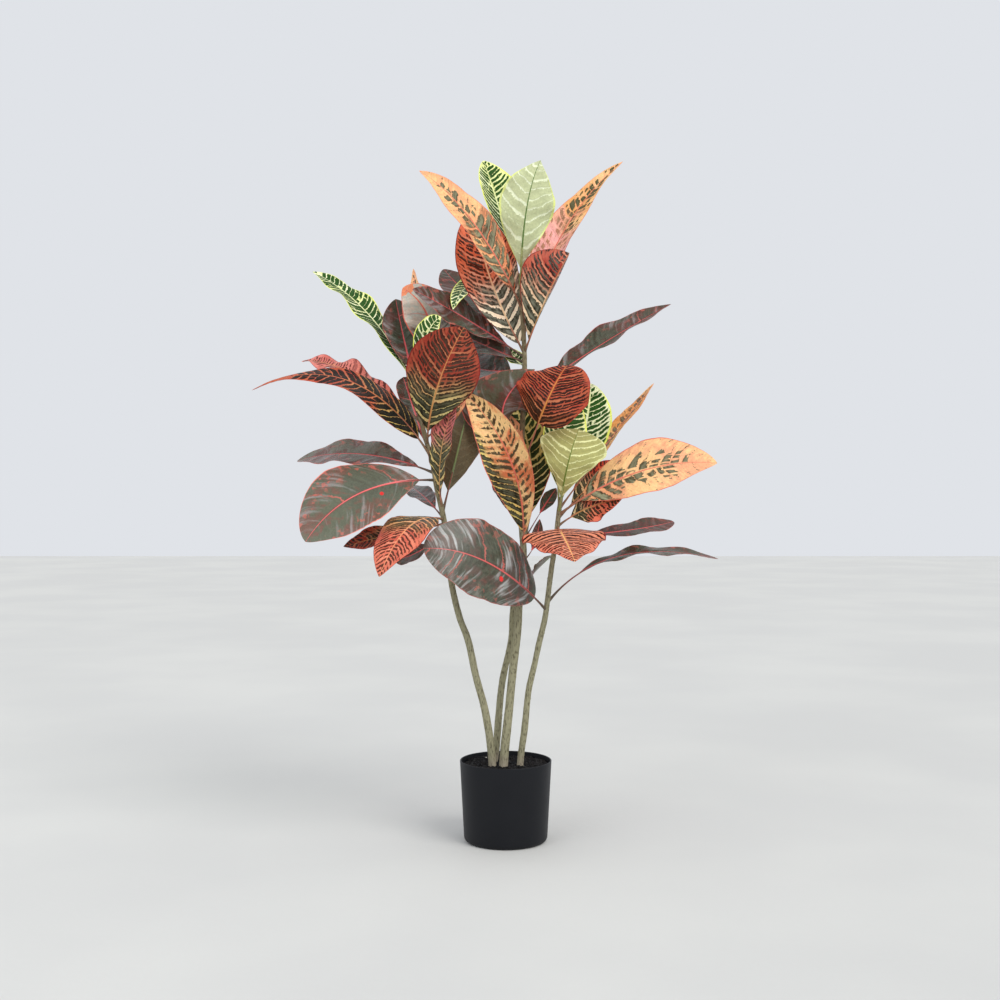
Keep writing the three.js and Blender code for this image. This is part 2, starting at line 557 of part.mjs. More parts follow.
function named(name, geometry, material) {
  const mesh = new THREE.Mesh(geometry, material);
  mesh.name = name;
  return mesh;
}

const group = new THREE.Group();
const keepOuts = {};
for (const [name, stem] of Object.entries(STEMS)) {
  keepOuts[name] = solidOf(stemGeometry(stem, CLEARANCE));
  group.add(named(`stem_${name}`, stemGeometry(stem, 0), matt(stem.bark, 0.75)));
}
group.add(named("pot", potGeometry(), matt(0x24272b, 0.5)));
group.add(named("soil", soilGeometry(Object.values(keepOuts)), matt(0x17161a, 0.95)));
LEAVES.forEach((leaf, number) => {
  const geometry = leafGeometry(leaf, number, keepOuts[leaf.stem]);
  group.add(named(leaf.name, geometry, matt(LEAF_COLOURS[leaf.kind], LEAF_ROUGHNESS)));
});

export default group;
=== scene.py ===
"""A potted croton about 1.2 m tall, with its fine leaves, bark, soil and pot, set around the frame.

Metres, +Z up, +Y away from the front, origin at the middle of the pot's underside. The stem lines and
the leaf rows are the solids' own, in millimetres; node trees grow the fine meshes from them.
"""

import math
from collections import namedtuple
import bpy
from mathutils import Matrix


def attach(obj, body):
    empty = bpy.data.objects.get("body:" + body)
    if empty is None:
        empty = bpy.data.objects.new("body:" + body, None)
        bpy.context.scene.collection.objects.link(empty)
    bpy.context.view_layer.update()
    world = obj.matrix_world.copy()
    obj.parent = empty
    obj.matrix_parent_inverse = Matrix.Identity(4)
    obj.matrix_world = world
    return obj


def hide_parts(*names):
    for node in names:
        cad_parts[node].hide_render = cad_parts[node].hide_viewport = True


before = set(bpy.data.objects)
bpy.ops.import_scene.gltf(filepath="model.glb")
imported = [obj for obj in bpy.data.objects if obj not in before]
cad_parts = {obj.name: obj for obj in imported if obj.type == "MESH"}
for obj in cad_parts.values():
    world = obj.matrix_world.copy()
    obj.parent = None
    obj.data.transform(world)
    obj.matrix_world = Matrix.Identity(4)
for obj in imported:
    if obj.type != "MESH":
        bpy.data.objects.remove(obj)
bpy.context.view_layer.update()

from types import SimpleNamespace

import bmesh
import bpy
from bpy.props import FloatProperty, FloatVectorProperty, IntProperty, PointerProperty
from mathutils import Vector

bl_info = {
    "name": "Potted croton",
    "version": (1, 0, 0),
    "blender": (4, 5, 0),
    "location": "View3D > Sidebar > Croton",
    "description": "Grows a potted croton: leaves, stems, soil and pot",
    "category": "Object",
}

BODY = "root"
MM = 0.001
TURN = 2 * math.pi
SHARP_EDGE = math.radians(50)

# ---------------------------------------------------------------- stems and leaves, in millimetres

STEM_FOOT = 14
STEMS = {
    "left": {
        "line": [(-23, -19, 133), (-35, -25, 226), (-52, -30, 292), (-65, -35, 353), (-79, -38, 391),
                 (-92, -40, 445), (-106, -45, 560), (-118, -45, 613), (-126, -45, 659),
                 (-137, -40, 697), (-150, -30, 749), (-159, -20, 802)],
        "foot": 15, "top": 7,
    },
    "rear": {
        "line": [(-20, 30, 133), (-17, 31, 154), (-6, 33, 271), (10, 35, 345), (13, 36, 399),
                 (33, 40, 523), (51, 40, 647), (54, 40, 719)],
        "foot": 14, "top": 8,
    },
    "centre": {
        "line": [(-4, -19, 133), (5, -15, 224), (13, -12, 304), (21, -8, 369), (23, -5, 409),
                 (31, 0, 494), (28, 0, 560), (28, 0, 681), (33, 0, 828), (32, 0, 870),
                 (27, 0, 942), (25, 0, 990)],
        "foot": 17, "top": 7,
    },
    "right": {
        "line": [(25, -10, 133), (33, -12, 198), (40, -14, 264), (50, -16, 309), (59, -18, 351),
                 (67, -19, 384), (71, -20, 410), (75, -21, 443), (80, -22, 481), (87, -24, 525),
                 (90, -25, 558), (95, -25, 598)],
        "foot": 13, "top": 8,
    },
}

# height is where a leaf's stalk leaves the stem and stalk its bare length; via and tip are the
# middle line's middle point and end; face is where the upper side looks. fold and curl are degrees
# by which the left and right halves rise, at the midrib and further out; wave is the height of the
# edge's waves, widest the share of the length where the blade is widest, and blunt its fullness.
Leaf = namedtuple("Leaf", "name kind stem height stalk via tip width face fold curl wave widest blunt",
                  defaults=((8, 8), (0, 0), 3, 0.55, 0.8))
LEAVES = [
    Leaf("top_green_back", "young", "centre", 975, 28, (-10, 55, 1110), (-40, 85, 1210),
         86, (0.1, -1, 0.15), fold=(48, 4), curl=(5, 6), wave=4, widest=0.58),
    Leaf("top_pale_front", "young", "centre", 968, 22, (35, -40, 1090), (60, -30, 1180),
         100, (-0.05, 1, 0.1), fold=(10, 10), curl=(8, 8), wave=6, widest=0.52, blunt=1.0),
    Leaf("top_orange_left", "orange", "centre", 930, 25, (-55, -60, 1065), (-145, -95, 1145),
         72, (0.45, -0.8, 0.35), fold=(12, 6), curl=(0, 10), wave=4, widest=0.42, blunt=0.85),
    Leaf("top_red_left", "red", "centre", 850, 16, (-30, 0, 990), (-50, 10, 1105),
         106, (0.15, -0.95, 0.15), fold=(5, 8), curl=(8, 5), widest=0.52, blunt=0.65),
    Leaf("top_orange_right", "orange", "centre", 880, 30, (105, 85, 1080), (215, 110, 1215),
         76, (-0.4, -0.75, 0.45), fold=(20, 20), wave=4, widest=0.33, blunt=0.85),
    Leaf("top_red_right", "red", "centre", 852, 20, (70, -45, 940), (110, -30, 1020),
         122, (0.05, -1, 0.1), fold=(0, -82), curl=(5, -15), widest=0.66, blunt=0.6),
    Leaf("top_dark_left", "dark", "centre", 872, 30, (-55, 90, 955), (-115, 150, 1025),
         88, (0.25, -0.75, 0.6), wave=4, blunt=0.75),
    Leaf("top_dark_long", "dark", "centre", 843, 35, (-60, 0, 905), (-160, -45, 955),
         68, (0.1, -0.8, 0.6), fold=(10, 10), wave=4, widest=0.62, blunt=0.75),
    Leaf("top_dark_low", "dark", "centre", 835, 30, (-40, 35, 870), (-125, 80, 915),
         90, (0.1, -0.6, 0.8), blunt=0.7),
    Leaf("top_dark_under", "dark", "centre", 822, 30, (-35, 40, 825), (-100, 100, 850),
         122, (0, -0.65, 0.76), blunt=0.7),
    Leaf("top_green_bud", "young", "centre", 829, 14, (20, 20, 840), (5, 40, 865),
         32, (0, -0.8, 0.6), wave=1),
    Leaf("top_dark_right", "dark", "centre", 770, 70, (160, 60, 865), (305, 120, 955),
         80, (-0.25, -0.45, 0.85), fold=(20, 20), wave=4, widest=0.5),
    Leaf("top_green_low", "young", "centre", 885, 35, (-45, 40, 975), (-90, -50, 920),
         46, (-0.3, -0.85, 0.4), fold=(10, 10), widest=0.6),
    Leaf("centre_dark", "dark", "centre", 690, 40, (-5, -45, 750), (50, -25, 820),
         150, (-0.2, -0.9, 0.35), fold=(0, -55), curl=(5, -10), widest=0.38, blunt=0.95),
    Leaf("centre_red_heart", "red", "centre", 640, 88, (65, -80, 750), (105, -45, 825),
         136, (-0.35, -0.88, 0.42), fold=(2, 5), curl=(-5, -15), wave=5, widest=0.45, blunt=0.5),
    Leaf("centre_orange", "orange", "centre", 512, 25, (10, -80, 655), (-70, -90, 775),
         92, (-0.15, -0.9, 0.35), fold=(10, 35), curl=(0, 25), wave=4, widest=0.5),
    Leaf("centre_dark_bud", "dark", "centre", 520, 60, (60, 20, 570), (90, 35, 615),
         26, (0, -0.8, 0.6), wave=1),
    Leaf("centre_dark_slip", "dark", "centre", 488, 30, (50, 10, 515), (60, 20, 560),
         20, (0, -0.8, 0.6), wave=1),
    Leaf("rear_green", "green", "rear", 535, 30, (45, 30, 655), (15, 60, 765),
         80, (-0.1, -1, 0.1), curl=(5, 5), wave=4),
    Leaf("centre_orange_small", "orange", "centre", 605, 30, (20, 5, 685), (-5, 15, 750),
         44, (-0.6, -0.75, 0.2)),
    Leaf("left_red_front", "red", "left", 690, 25, (-115, -105, 780), (-70, -115, 880),
         124, (0.1, -1, 0.1), fold=(8, 10), curl=(5, 5), wave=4, widest=0.62, blunt=0.75),
    Leaf("left_red_long", "red", "left", 668, 30, (-265, -75, 795), (-430, -70, 780),
         96, (0.15, -0.6, 0.75), fold=(10, -12), wave=4, widest=0.28, blunt=1.3),
    Leaf("left_pink_rear", "red", "left", 728, 40, (-275, 45, 820), (-375, 120, 850),
         54, (0.1, -0.55, 0.8), fold=(10, 10), wave=9, widest=0.5, blunt=0.7),
    Leaf("left_green", "young", "left", 782, 40, (-240, 55, 920), (-355, 120, 1015),
         54, (0.3, -0.6, 0.7), fold=(12, 12), wave=6, blunt=0.7),
    Leaf("left_dark_top", "dark", "left", 774, 30, (-130, -10, 890), (-180, 0, 965),
         84, (-0.1, -0.85, 0.5), widest=0.62, blunt=0.62),
    Leaf("left_dark_side", "dark", "left", 799, 18, (-180, 20, 880), (-195, 30, 950),
         66, (0.1, -0.9, 0.4), widest=0.6, blunt=0.7),
    Leaf("left_orange_spike", "orange", "left", 788, 50, (-160, 70, 920), (-170, 120, 1020),
         40, (-0.8, -0.5, 0.2)),
    Leaf("left_green_small", "young", "left", 756, 32, (-140, -50, 860), (-110, -60, 905),
         46, (-0.3, -0.9, 0.3), wave=2),
    Leaf("left_dark_rear", "dark", "left", 650, 30, (-165, 0, 765), (-180, 10, 810),
         40, (0.2, -0.95, 0.2)),
    Leaf("left_orange_small", "orange", "left", 700, 30, (-100, -55, 735), (-70, -55, 785),
         36, (-0.3, -0.9, 0.2), wave=2),
    Leaf("left_pink_small", "red", "left", 575, 22, (-110, -70, 670), (-85, -80, 760),
         66, (-0.75, -0.6, 0.2), fold=(10, 10), widest=0.6, blunt=0.7),
    Leaf("left_olive", "dark", "left", 572, 32, (-80, -30, 690), (-60, -5, 780),
         116, (0.15, 0.95, -0.2), fold=(60, 5), curl=(0, 5), widest=0.56, blunt=0.75),
    Leaf("left_dark_big", "dark", "left", 628, 25, (-245, -95, 605), (-330, -130, 525),
         138, (-0.15, -0.85, 0.5), fold=(5, 5), curl=(-5, -5), wave=4, blunt=0.7),
    Leaf("left_dark_upper", "dark", "left", 640, 30, (-255, 25, 675), (-380, 95, 665),
         84, (0.05, -0.6, 0.8), wave=4, blunt=0.75),
    Leaf("left_maroon_small", "dark", "left", 562, 40, (-145, 30, 600), (-180, 130, 620),
         48, (0, -0.5, 0.85), wave=2),
    Leaf("left_orange_droop", "red", "left", 560, 22, (-160, -115, 550), (-205, -170, 470),
         100, (-0.35, -0.65, 0.65), fold=(5, 5), curl=(-10, -10), wave=4, widest=0.5),
    Leaf("left_red_tip", "red", "left", 553, 35, (-195, -60, 535), (-275, -70, 515),
         56, (-0.1, -0.6, 0.8)),
    Leaf("left_dark_low", "dark", "left", 540, 30, (-150, -30, 505), (-195, -20, 490),
         50, (0, -0.6, 0.8), wave=2),
    Leaf("right_pale_front", "young", "right", 574, 20, (105, -75, 655), (125, -50, 715),
         116, (0.15, 0.95, -0.2), fold=(5, 5), wave=4, widest=0.72, blunt=0.55),
    Leaf("right_green_rear", "young", "right", 594, 30, (135, 15, 700), (155, 80, 805),
         92, (-0.1, -1, 0.15), wave=4, widest=0.58, blunt=0.75),
    Leaf("right_green_left", "young", "right", 582, 30, (95, -20, 685), (125, -10, 770),
         80, (0.3, -0.9, 0.2), wave=4, widest=0.58, blunt=0.75),
    Leaf("right_orange_thin", "orange", "right", 578, 40, (190, 60, 705), (275, 130, 810),
         48, (-0.65, -0.4, 0.6), fold=(10, 10), widest=0.5, blunt=0.85),
    Leaf("right_orange_big", "orange", "right", 568, 40, (220, -75, 640), (350, -115, 655),
         112, (0.1, -0.8, 0.6), wave=4, widest=0.52),
    Leaf("right_red_upper", "red", "right", 562, 35, (150, 20, 620), (205, 70, 665),
         60, (-0.2, -0.8, 0.5)),
    Leaf("right_red_lower", "red", "right", 548, 30, (140, -45, 580), (195, -80, 595),
         72, (0, -0.85, 0.5)),
    Leaf("right_dark_mid", "dark", "right", 530, 45, (215, 30, 540), (305, 85, 555),
         48, (0.1, -0.5, 0.85), widest=0.6, blunt=0.6),
    Leaf("right_orange_front", "red", "right", 548, 16, (100, -105, 525), (110, -185, 495),
         142, (0, -0.45, 0.9), fold=(5, 5), curl=(-10, -10), wave=4, widest=0.32, blunt=0.95),
    Leaf("right_dark_long", "dark", "right", 415, 80, (195, 0, 495), (375, 20, 490),
         52, (0.05, -0.25, 1), wave=4, widest=0.6, blunt=0.7),
    Leaf("right_dark_inner", "dark", "right", 500, 18, (70, 30, 485), (40, 80, 450),
         46, (0.1, -0.7, 0.7), wave=2),
    Leaf("right_dark_big", "dark", "right", 403, 30, (-30, -115, 490), (-135, -150, 515),
         134, (0.1, -0.9, 0.4), fold=(5, 5), curl=(-5, -8), wave=4, widest=0.5, blunt=0.55),
    Leaf("rear_dark_back", "dark", "rear", 700, 35, (75, 130, 750), (90, 230, 795),
         90, (-0.1, -0.6, 0.8), wave=4, blunt=0.75),
    Leaf("left_dark_back", "dark", "left", 715, 35, (-135, 70, 780), (-125, 185, 845),
         100, (0.1, -0.6, 0.8), wave=4, blunt=0.75),
    Leaf("centre_red_back", "red", "centre", 540, 42, (10, 110, 600), (0, 195, 650),
         62, (0, -0.5, 0.85), wave=4, blunt=0.75),
    Leaf("top_red_back", "red", "centre", 900, 35, (0, 85, 975), (-15, 165, 1030),
         72, (0.1, -0.6, 0.8), wave=4, blunt=0.75),
]

# ---------------------------------------------------------------- colours


def srgb(red, green, blue):
    """A picture's colour, 0 to 255, as the linear colour that the shaders take."""
    return tuple(((c / 255 + 0.055) / 1.055) ** 2.4 if c > 10 else c / 255 / 12.92
                 for c in (red, green, blue)) + (1,)


# A leaf's paint. The tissue between the side veins changes from the base of the blade to its tip,
# and so do the bands along the veins. Fill is the share of the blade that tissue takes, break how
# much of it is missing, fineness how far its stripes are doubled near the tip, spread how far out
# it reaches there, and clear where it ends. Core is its paler middle, cloud lets the bands' colours
# show through it, and tilt brings the change forward on one half. Painted sheen is the pale film
# between the veins, a painted reflection in place of the dark leaves' gloss, and gap the side
# veins' distance as a share of the usual one.
COMMON_PAINT = dict(
    dot=(216, 48, 44), blot=(196, 102, 88), bloom_colour=(158, 158, 156), fill_base=0.84, fill_tip=0.8,
    fineness=0.0, break_base=0.0, break_tip=0.4, core=0.5, change=0.5, blend=0.14, tilt=0.0,
    spread=0.95, clear=1.2, gap=1.0, luck=0.3, ragged=0.5, streaks=0.4, cloud=0.0, flush_amount=0.45,
    vein_show=0.4, vein_rarity=0.0, margin_width=0.04, rib_width=1.5, bloom=0.0, blots=0.0,
    dot_side=0.0, dot_along=0.0, dot_size=0.0, matt=0.42, sheen=0.15,
)
PAINTS = {
    "young": dict(
        tissue_base=(24, 46, 14), tissue_tip=(26, 68, 12), tissue_core=(78, 122, 52),
        band_base=(216, 224, 178), band_tip=(236, 242, 160), flush=(246, 248, 224),
        vein=(244, 246, 206), midrib=(240, 244, 186), margin=(236, 244, 112), under=(196, 204, 160),
        under_vein=(232, 238, 202), under_midrib=(112, 140, 80), gap=0.72, fill_base=0.86,
        break_base=0.24, break_tip=0.32, spread=0.92, clear=0.97, margin_width=0.1, vein_show=0.5,
        flush_amount=0.5,
    ),
    "green": dict(
        tissue_base=(24, 28, 8), tissue_tip=(24, 44, 10), tissue_core=(84, 98, 52),
        band_base=(214, 200, 138), band_tip=(200, 200, 116), flush=(190, 84, 58), vein=(228, 222, 156),
        midrib=(206, 184, 124), margin=(176, 80, 56), under=(150, 140, 100),
        under_vein=(190, 184, 130), under_midrib=(120, 140, 84), gap=0.85, fill_base=0.82,
        fill_tip=0.78, break_tip=0.36, spread=1.0, flush_amount=0.3, margin_width=0.07, core=0.4,
    ),
    "orange": dict(
        tissue_base=(56, 48, 28), tissue_tip=(78, 70, 46), tissue_core=(158, 156, 124),
        band_base=(222, 142, 98), band_tip=(246, 170, 128), flush=(252, 198, 136),
        vein=(250, 190, 146), midrib=(224, 118, 98), margin=(218, 112, 92), under=(216, 142, 112),
        under_vein=(236, 170, 134), under_midrib=(196, 102, 84), gap=1.25, break_base=0.3,
        break_tip=0.42, change=0.2, spread=0.6, clear=0.88, luck=0.5, flush_amount=0.7, vein_show=0.35,
        rib_width=1.8, core=0.95, ragged=1.0, streaks=0.75,
    ),
    "red": dict(
        tissue_base=(38, 34, 14), tissue_tip=(58, 16, 8), tissue_core=(112, 110, 84),
        band_base=(220, 200, 148), band_tip=(160, 56, 38), flush=(188, 88, 66), vein=(212, 150, 104),
        midrib=(190, 140, 86), margin=(128, 28, 26), under=(168, 88, 78), under_vein=(204, 128, 108),
        under_midrib=(196, 128, 96), fill_tip=0.7, fineness=1.0, spread=0.96, margin_width=0.035,
        core=0.55,
    ),
    # Dark leaves: the pale film between their veins is painted reflection of their gloss.
    "dark": dict(
        tissue_base=(64, 64, 50), tissue_tip=(74, 68, 54), tissue_core=(92, 98, 82),
        band_base=(80, 42, 34), band_tip=(98, 52, 44), flush=(182, 100, 84), vein=(206, 104, 94),
        midrib=(214, 92, 92), margin=(184, 92, 84), under=(90, 76, 58), under_vein=(112, 98, 76),
        under_midrib=(118, 136, 88), gap=1.3, fill_base=1.9, fill_tip=1.9, break_tip=0.0, spread=1.8,
        cloud=0.9, luck=0.0, vein_show=0.7, vein_rarity=0.8, margin_width=0.03, rib_width=1.8,
        bloom=0.5, blots=0.6, matt=0.28, core=0.6, flush_amount=0.0, sheen=0.3,
    ),
}
# Leaves whose colours stand out from their kind's. On the dark ones, the pale film between the
# veins is painted reflection of their gloss.
OWN_PAINTS = {
    "top_orange_left": dict(
        tissue_base=(74, 66, 48), band_base=(206, 104, 68), band_tip=(246, 172, 124), change=0.36,
        blend=0.2, spread=0.5, clear=0.8, gap=1.1,
    ),
    "top_orange_right": dict(
        tissue_base=(206, 128, 104), band_base=(250, 182, 176), flush=(250, 206, 150),
        band_tip=(234, 168, 104), vein=(226, 132, 118), tissue_tip=(76, 72, 42), change=0.45,
        spread=0.75, clear=0.95, gap=1.0, break_base=0.5, core=0.4, fill_base=0.6,
    ),
    "top_red_left": dict(
        band_base=(252, 236, 204), vein=(248, 214, 180), band_tip=(216, 104, 70), flush=(230, 130, 94),
        tissue_tip=(76, 26, 14), tissue_core=(138, 138, 120), midrib=(232, 196, 150), change=0.38,
        gap=1.15, fill_base=0.66, core=0.8,
    ),
    "top_red_right": dict(
        band_base=(240, 218, 178), vein=(232, 178, 140), tissue_core=(132, 132, 112),
        band_tip=(150, 44, 30), flush=(204, 112, 86), tissue_tip=(46, 8, 4), gap=1.15, fill_base=0.78,
        core=0.8,
    ),
    "top_pale_front": dict(
        under=(186, 192, 148), under_vein=(232, 238, 204), under_midrib=(96, 122, 66), gap=1.4,
    ),
    "right_pale_front": dict(
        under=(166, 164, 102), under_vein=(234, 236, 176), margin=(236, 238, 176),
        under_midrib=(104, 122, 50), gap=1.0,
    ),
    "centre_orange": dict(
        tissue_base=(30, 26, 6), band_base=(226, 206, 116), band_tip=(236, 194, 134),
        flush=(198, 96, 58), tissue_tip=(66, 46, 24), tilt=-0.55, spread=0.66, break_base=0.1,
        fill_base=0.86, fill_tip=0.52, flush_amount=0.9, clear=1.1, blend=0.1, gap=0.9, core=0.3,
    ),
    "centre_orange_small": dict(tissue_base=(50, 52, 26), fill_base=0.8, gap=0.9),
    "right_orange_big": dict(
        band_tip=(240, 170, 128), flush=(252, 206, 142), gap=1.3, clear=0.78, spread=0.56,
    ),
    "right_orange_front": dict(
        tissue_base=(50, 20, 12), tissue_tip=(48, 18, 10), band_base=(214, 126, 96),
        band_tip=(208, 104, 82), vein=(244, 180, 148), midrib=(240, 188, 116), flush=(226, 146, 112),
        fill_base=0.5, fill_tip=0.46, vein_show=0.7, gap=0.85, spread=1.0, clear=1.1, core=0.0,
        break_tip=0.34,
    ),
    "left_orange_droop": dict(
        tissue_base=(54, 40, 24), tissue_tip=(92, 40, 28), band_base=(214, 170, 108),
        band_tip=(206, 96, 76), midrib=(236, 164, 112), vein=(240, 164, 130), flush=(226, 132, 104),
        fill_base=0.8, fill_tip=0.55, vein_show=0.6, spread=0.85, change=0.4, core=0.4,
    ),
    "left_pink_rear": dict(
        tissue_base=(86, 38, 30), tissue_tip=(92, 40, 32), band_base=(196, 102, 90),
        band_tip=(208, 110, 100), flush=(234, 152, 138), fill_base=0.4, fill_tip=0.45, spread=0.7,
        core=0.0,
    ),
    "left_pink_small": dict(
        band_tip=(204, 120, 122), tissue_tip=(76, 44, 34), tissue_base=(44, 40, 14),
        band_base=(206, 186, 120), change=0.55, fill_tip=0.55,
    ),
    "left_red_long": dict(
        tissue_base=(10, 6, 1), tissue_tip=(28, 8, 3), band_base=(206, 178, 96),
        band_tip=(164, 64, 50), flush=(190, 100, 58), margin=(176, 82, 60), midrib=(196, 110, 72),
        change=0.3, fill_tip=0.84, core=0.1, gap=1.1, fineness=0.0, break_tip=0.32, clear=0.8,
        fill_base=0.92,
    ),
    "left_red_front": dict(
        band_tip=(142, 52, 36), band_base=(202, 188, 124), flush=(160, 78, 54),
        tissue_base=(26, 24, 4), midrib=(196, 136, 80), core=0.45, change=0.4,
    ),
    "centre_red_heart": dict(
        band_tip=(164, 62, 44), band_base=(186, 106, 62), flush=(186, 98, 64),
        tissue_base=(52, 26, 10), tissue_tip=(50, 14, 5), midrib=(206, 140, 64), margin=(160, 52, 40),
        core=0.1, change=0.2, fill_tip=0.62, break_tip=0.3,
    ),
    "left_green": dict(
        tissue_base=(24, 44, 12), change=0.35, break_base=0.1, fill_base=0.98, fill_tip=0.9,
        margin_width=0.07, vein_show=0.3, spread=1.1,
    ),
    "top_green_back": dict(fill_base=0.78, fill_tip=0.74),
    "right_orange_thin": dict(
        band_tip=(228, 152, 84), tissue_tip=(92, 58, 36), band_base=(190, 86, 54), clear=0.93, gap=1.0,
    ),
    # Its pale grey-green tip and core are painted reflection of its gloss.
    "left_dark_top": dict(
        tissue_base=(78, 66, 54), tissue_tip=(188, 186, 172), band_base=(92, 52, 42),
        band_tip=(236, 142, 98), margin=(208, 98, 82), vein=(204, 112, 100),
        tissue_core=(190, 192, 180), margin_width=0.06, cloud=0.25, change=0.6, clear=0.92, blots=0.15,
        bloom=0.2,
    ),
    "right_dark_mid": dict(
        tissue_base=(66, 56, 46), tissue_tip=(70, 58, 48), vein_rarity=0.92, blots=0.25, bloom=0.1,
    ),
    "right_dark_long": dict(vein_rarity=0.92, blots=0.45, bloom=0.25),
    "right_red_upper": dict(band_tip=(186, 66, 46), change=0.36),
    "right_red_lower": dict(band_tip=(212, 98, 74), flush=(222, 126, 98), change=0.3),
    "left_dark_big": dict(
        tissue_base=(88, 90, 76), tissue_tip=(98, 100, 82), band_base=(110, 76, 64),
        band_tip=(116, 78, 68), margin=(220, 126, 112), midrib=(230, 108, 108), dot_side=-17.0,
        dot_along=0.3, dot_size=4.5,
    ),
    "left_dark_upper": dict(tissue_base=(108, 104, 92), tissue_tip=(114, 110, 98)),
    "left_olive": dict(under=(98, 88, 66), under_vein=(112, 102, 78), gap=1.0),
    "centre_dark": dict(tissue_base=(84, 76, 56), tissue_tip=(80, 72, 52)),
    "right_dark_big": dict(
        tissue_base=(68, 68, 56), tissue_tip=(78, 76, 66), band_base=(84, 62, 54),
        band_tip=(98, 78, 70), midrib=(206, 96, 92), margin=(150, 92, 84),
        bloom_colour=(200, 204, 202), vein_rarity=0.9, blots=0.4, dot_side=-14.0, dot_along=0.3,
        dot_size=4.5, bloom=0.6,
    ),
}
STALK_COLOURS = {
    "young": ((150, 160, 96), (186, 192, 130)), "green": ((140, 132, 92), (176, 160, 110)),
    "orange": ((150, 112, 88), (214, 132, 104)), "red": ((128, 104, 80), (196, 122, 100)),
    "dark": ((96, 84, 70), (158, 88, 84)),
}


def leaf_paint(row):
    """One leaf's paint: what all leaves have, what its kind has and what is its own."""
    return {**COMMON_PAINT, **PAINTS[row.kind], **OWN_PAINTS.get(row.name, {})}


def painted_values(row):
    """What the paint's tree is given for one leaf. Gap and sheen are used elsewhere."""
    return {name.replace("_", " "): srgb(*value) if isinstance(value, tuple) else value
            for name, value in leaf_paint(row).items() if name not in ("gap", "sheen")}


# ---------------------------------------------------------------- settings


def tint(label, words, *colour):
    return FloatVectorProperty(name=label, description=words, subtype="COLOR", size=4, min=0, max=1,
                               default=srgb(*colour))


def measure(label, words, millimetres):
    return FloatProperty(name=label, description=words, unit="LENGTH", min=0,
                         default=millimetres * MM)


def count(label, words, default, least=0):
    return IntProperty(name=label, description=words, default=default, min=least)


class CrotonPotSettings(bpy.types.PropertyGroup):
    """Sizes and colour of the plastic pot."""

    rim_diameter: measure("Rim diameter", "Across the outside at the rim", 160)
    base_diameter: measure("Base diameter", "Across the outside at the foot", 146)
    height: measure("Height", "From the table to the rim", 140)
    wall: measure("Wall", "Thickness of the wall", 2.4)
    floor: measure("Floor", "Thickness of the floor", 4)
    corner: measure("Corner", "Rounding between wall and floor", 8)
    shoulder: measure("Shoulder", "Height where the inner wall begins", 10)
    sides: count("Sides", "Facets round the pot", 128, 24)
    colour: tint("Plastic", "Colour of the matt plastic", 7, 10, 16)


class CrotonSoilSettings(bpy.types.PropertyGroup):
    """Sizes and colours of the soil."""

    top: measure("Top", "Height of the soil above the table", 132)
    crumb: measure("Crumb", "Radius of a middling crumb", 2.2)
    crumbs: count("Crumbs", "Crumbs for each square metre", 62000)
    seed: count("Seed", "Choice of the random places", 7)
    colour: tint("Soil", "Colour of the damp soil", 18, 17, 19)
    speck: tint("Grain", "Colour of the pale grain", 236, 232, 222)


class CrotonStemSettings(bpy.types.PropertyGroup):
    """Relief and colours of the bark."""

    sides: count("Sides", "Facets round a stem", 20, 6)
    rings: count("Rings", "Rings of points along a stem", 260, 20)
    relief: measure("Relief", "Height of the bark's bumps", 0.5)
    swell: measure("Swell", "How far a stem swells and narrows", 0.45)
    scar: measure("Leaf scar", "Radius of an old leaf's scar", 2.1)
    scars: count("Leaf scars", "Scars along a stem", 26)
    young: tint("Young bark", "Colour of the upper part", 134, 122, 94)
    old: tint("Old bark", "Colour of the lower part", 150, 146, 118)
    # The grooves' colour is painted shade, darker where the bark's bumps sink.
    shade: tint("Bark grooves", "Colour in the grooves", 72, 62, 42)


class CrotonLeafSettings(bpy.types.PropertyGroup):
    """Fineness and relief of the leaves."""

    columns: count("Columns", "Faces across a blade", 24, 8)
    row: measure("Row", "Length of a face along a blade", 2.2)
    thickness: measure("Thickness", "Thickness of a blade", 0.7)
    vein_gap: measure("Vein gap", "From one side vein to the next", 15)
    relief: measure("Vein relief", "Depth of the side veins' grooves", 0.55)
    ripple: measure("Ripple", "Height of the fine waves at the edge", 1.6)
    uneven: FloatProperty(name="Uneven outline", description="Share by which the width varies",
                          default=0.05, min=0, max=0.3)
    midrib: measure("Midrib", "How far the midrib stands out below", 1.3)
    stalk: measure("Stalk radius", "Radius of a stalk at the stem", 2.1)
    stalk_end: measure("Stalk end", "Radius of a stalk where it ends", 0.9)


class CrotonSettings(bpy.types.PropertyGroup):
    """Everything a user would change."""

    pot: PointerProperty(type=CrotonPotSettings)
    soil: PointerProperty(type=CrotonSoilSettings)
    stems: PointerProperty(type=CrotonStemSettings)
    leaves: PointerProperty(type=CrotonLeafSettings)


# ---------------------------------------------------------------- node arithmetic


def feed(tree, value, socket):
    """A field is linked to the socket, and anything else is written on it."""
    if isinstance(value, Field):
        tree.links.new(value.socket, socket)
    else:
        socket.default_value = value


def put(tree, kind, *values, inputs=None, **settings):
    """A new node's first output. The node gets its settings, then its shown inputs in order, then
    further inputs by name."""
    node = tree.nodes.new(kind)
    for name, setting in settings.items():
        setattr(node, name, setting)
    for value, socket in zip(values, [socket for socket in node.inputs if socket.enabled]):
        feed(tree, value, socket)
    for name, value in (inputs or {}).items():
        feed(tree, value, node.inputs[name])
    return Field(tree, next(socket for socket in node.outputs if socket.enabled))


def maths(operation, swapped=False):
    """A method that puts a Math node after a field."""
    def method(self, *others):
        values = (*others, self) if swapped else (self, *others)
        return put(self.tree, "ShaderNodeMath", *values, operation=operation)
    return method


def vectors(operation):
    """A method that puts a Vector Math node after a field."""
    def method(self, *others):
        return put(self.tree, "ShaderNodeVectorMath", self, *others, operation=operation)
    return method


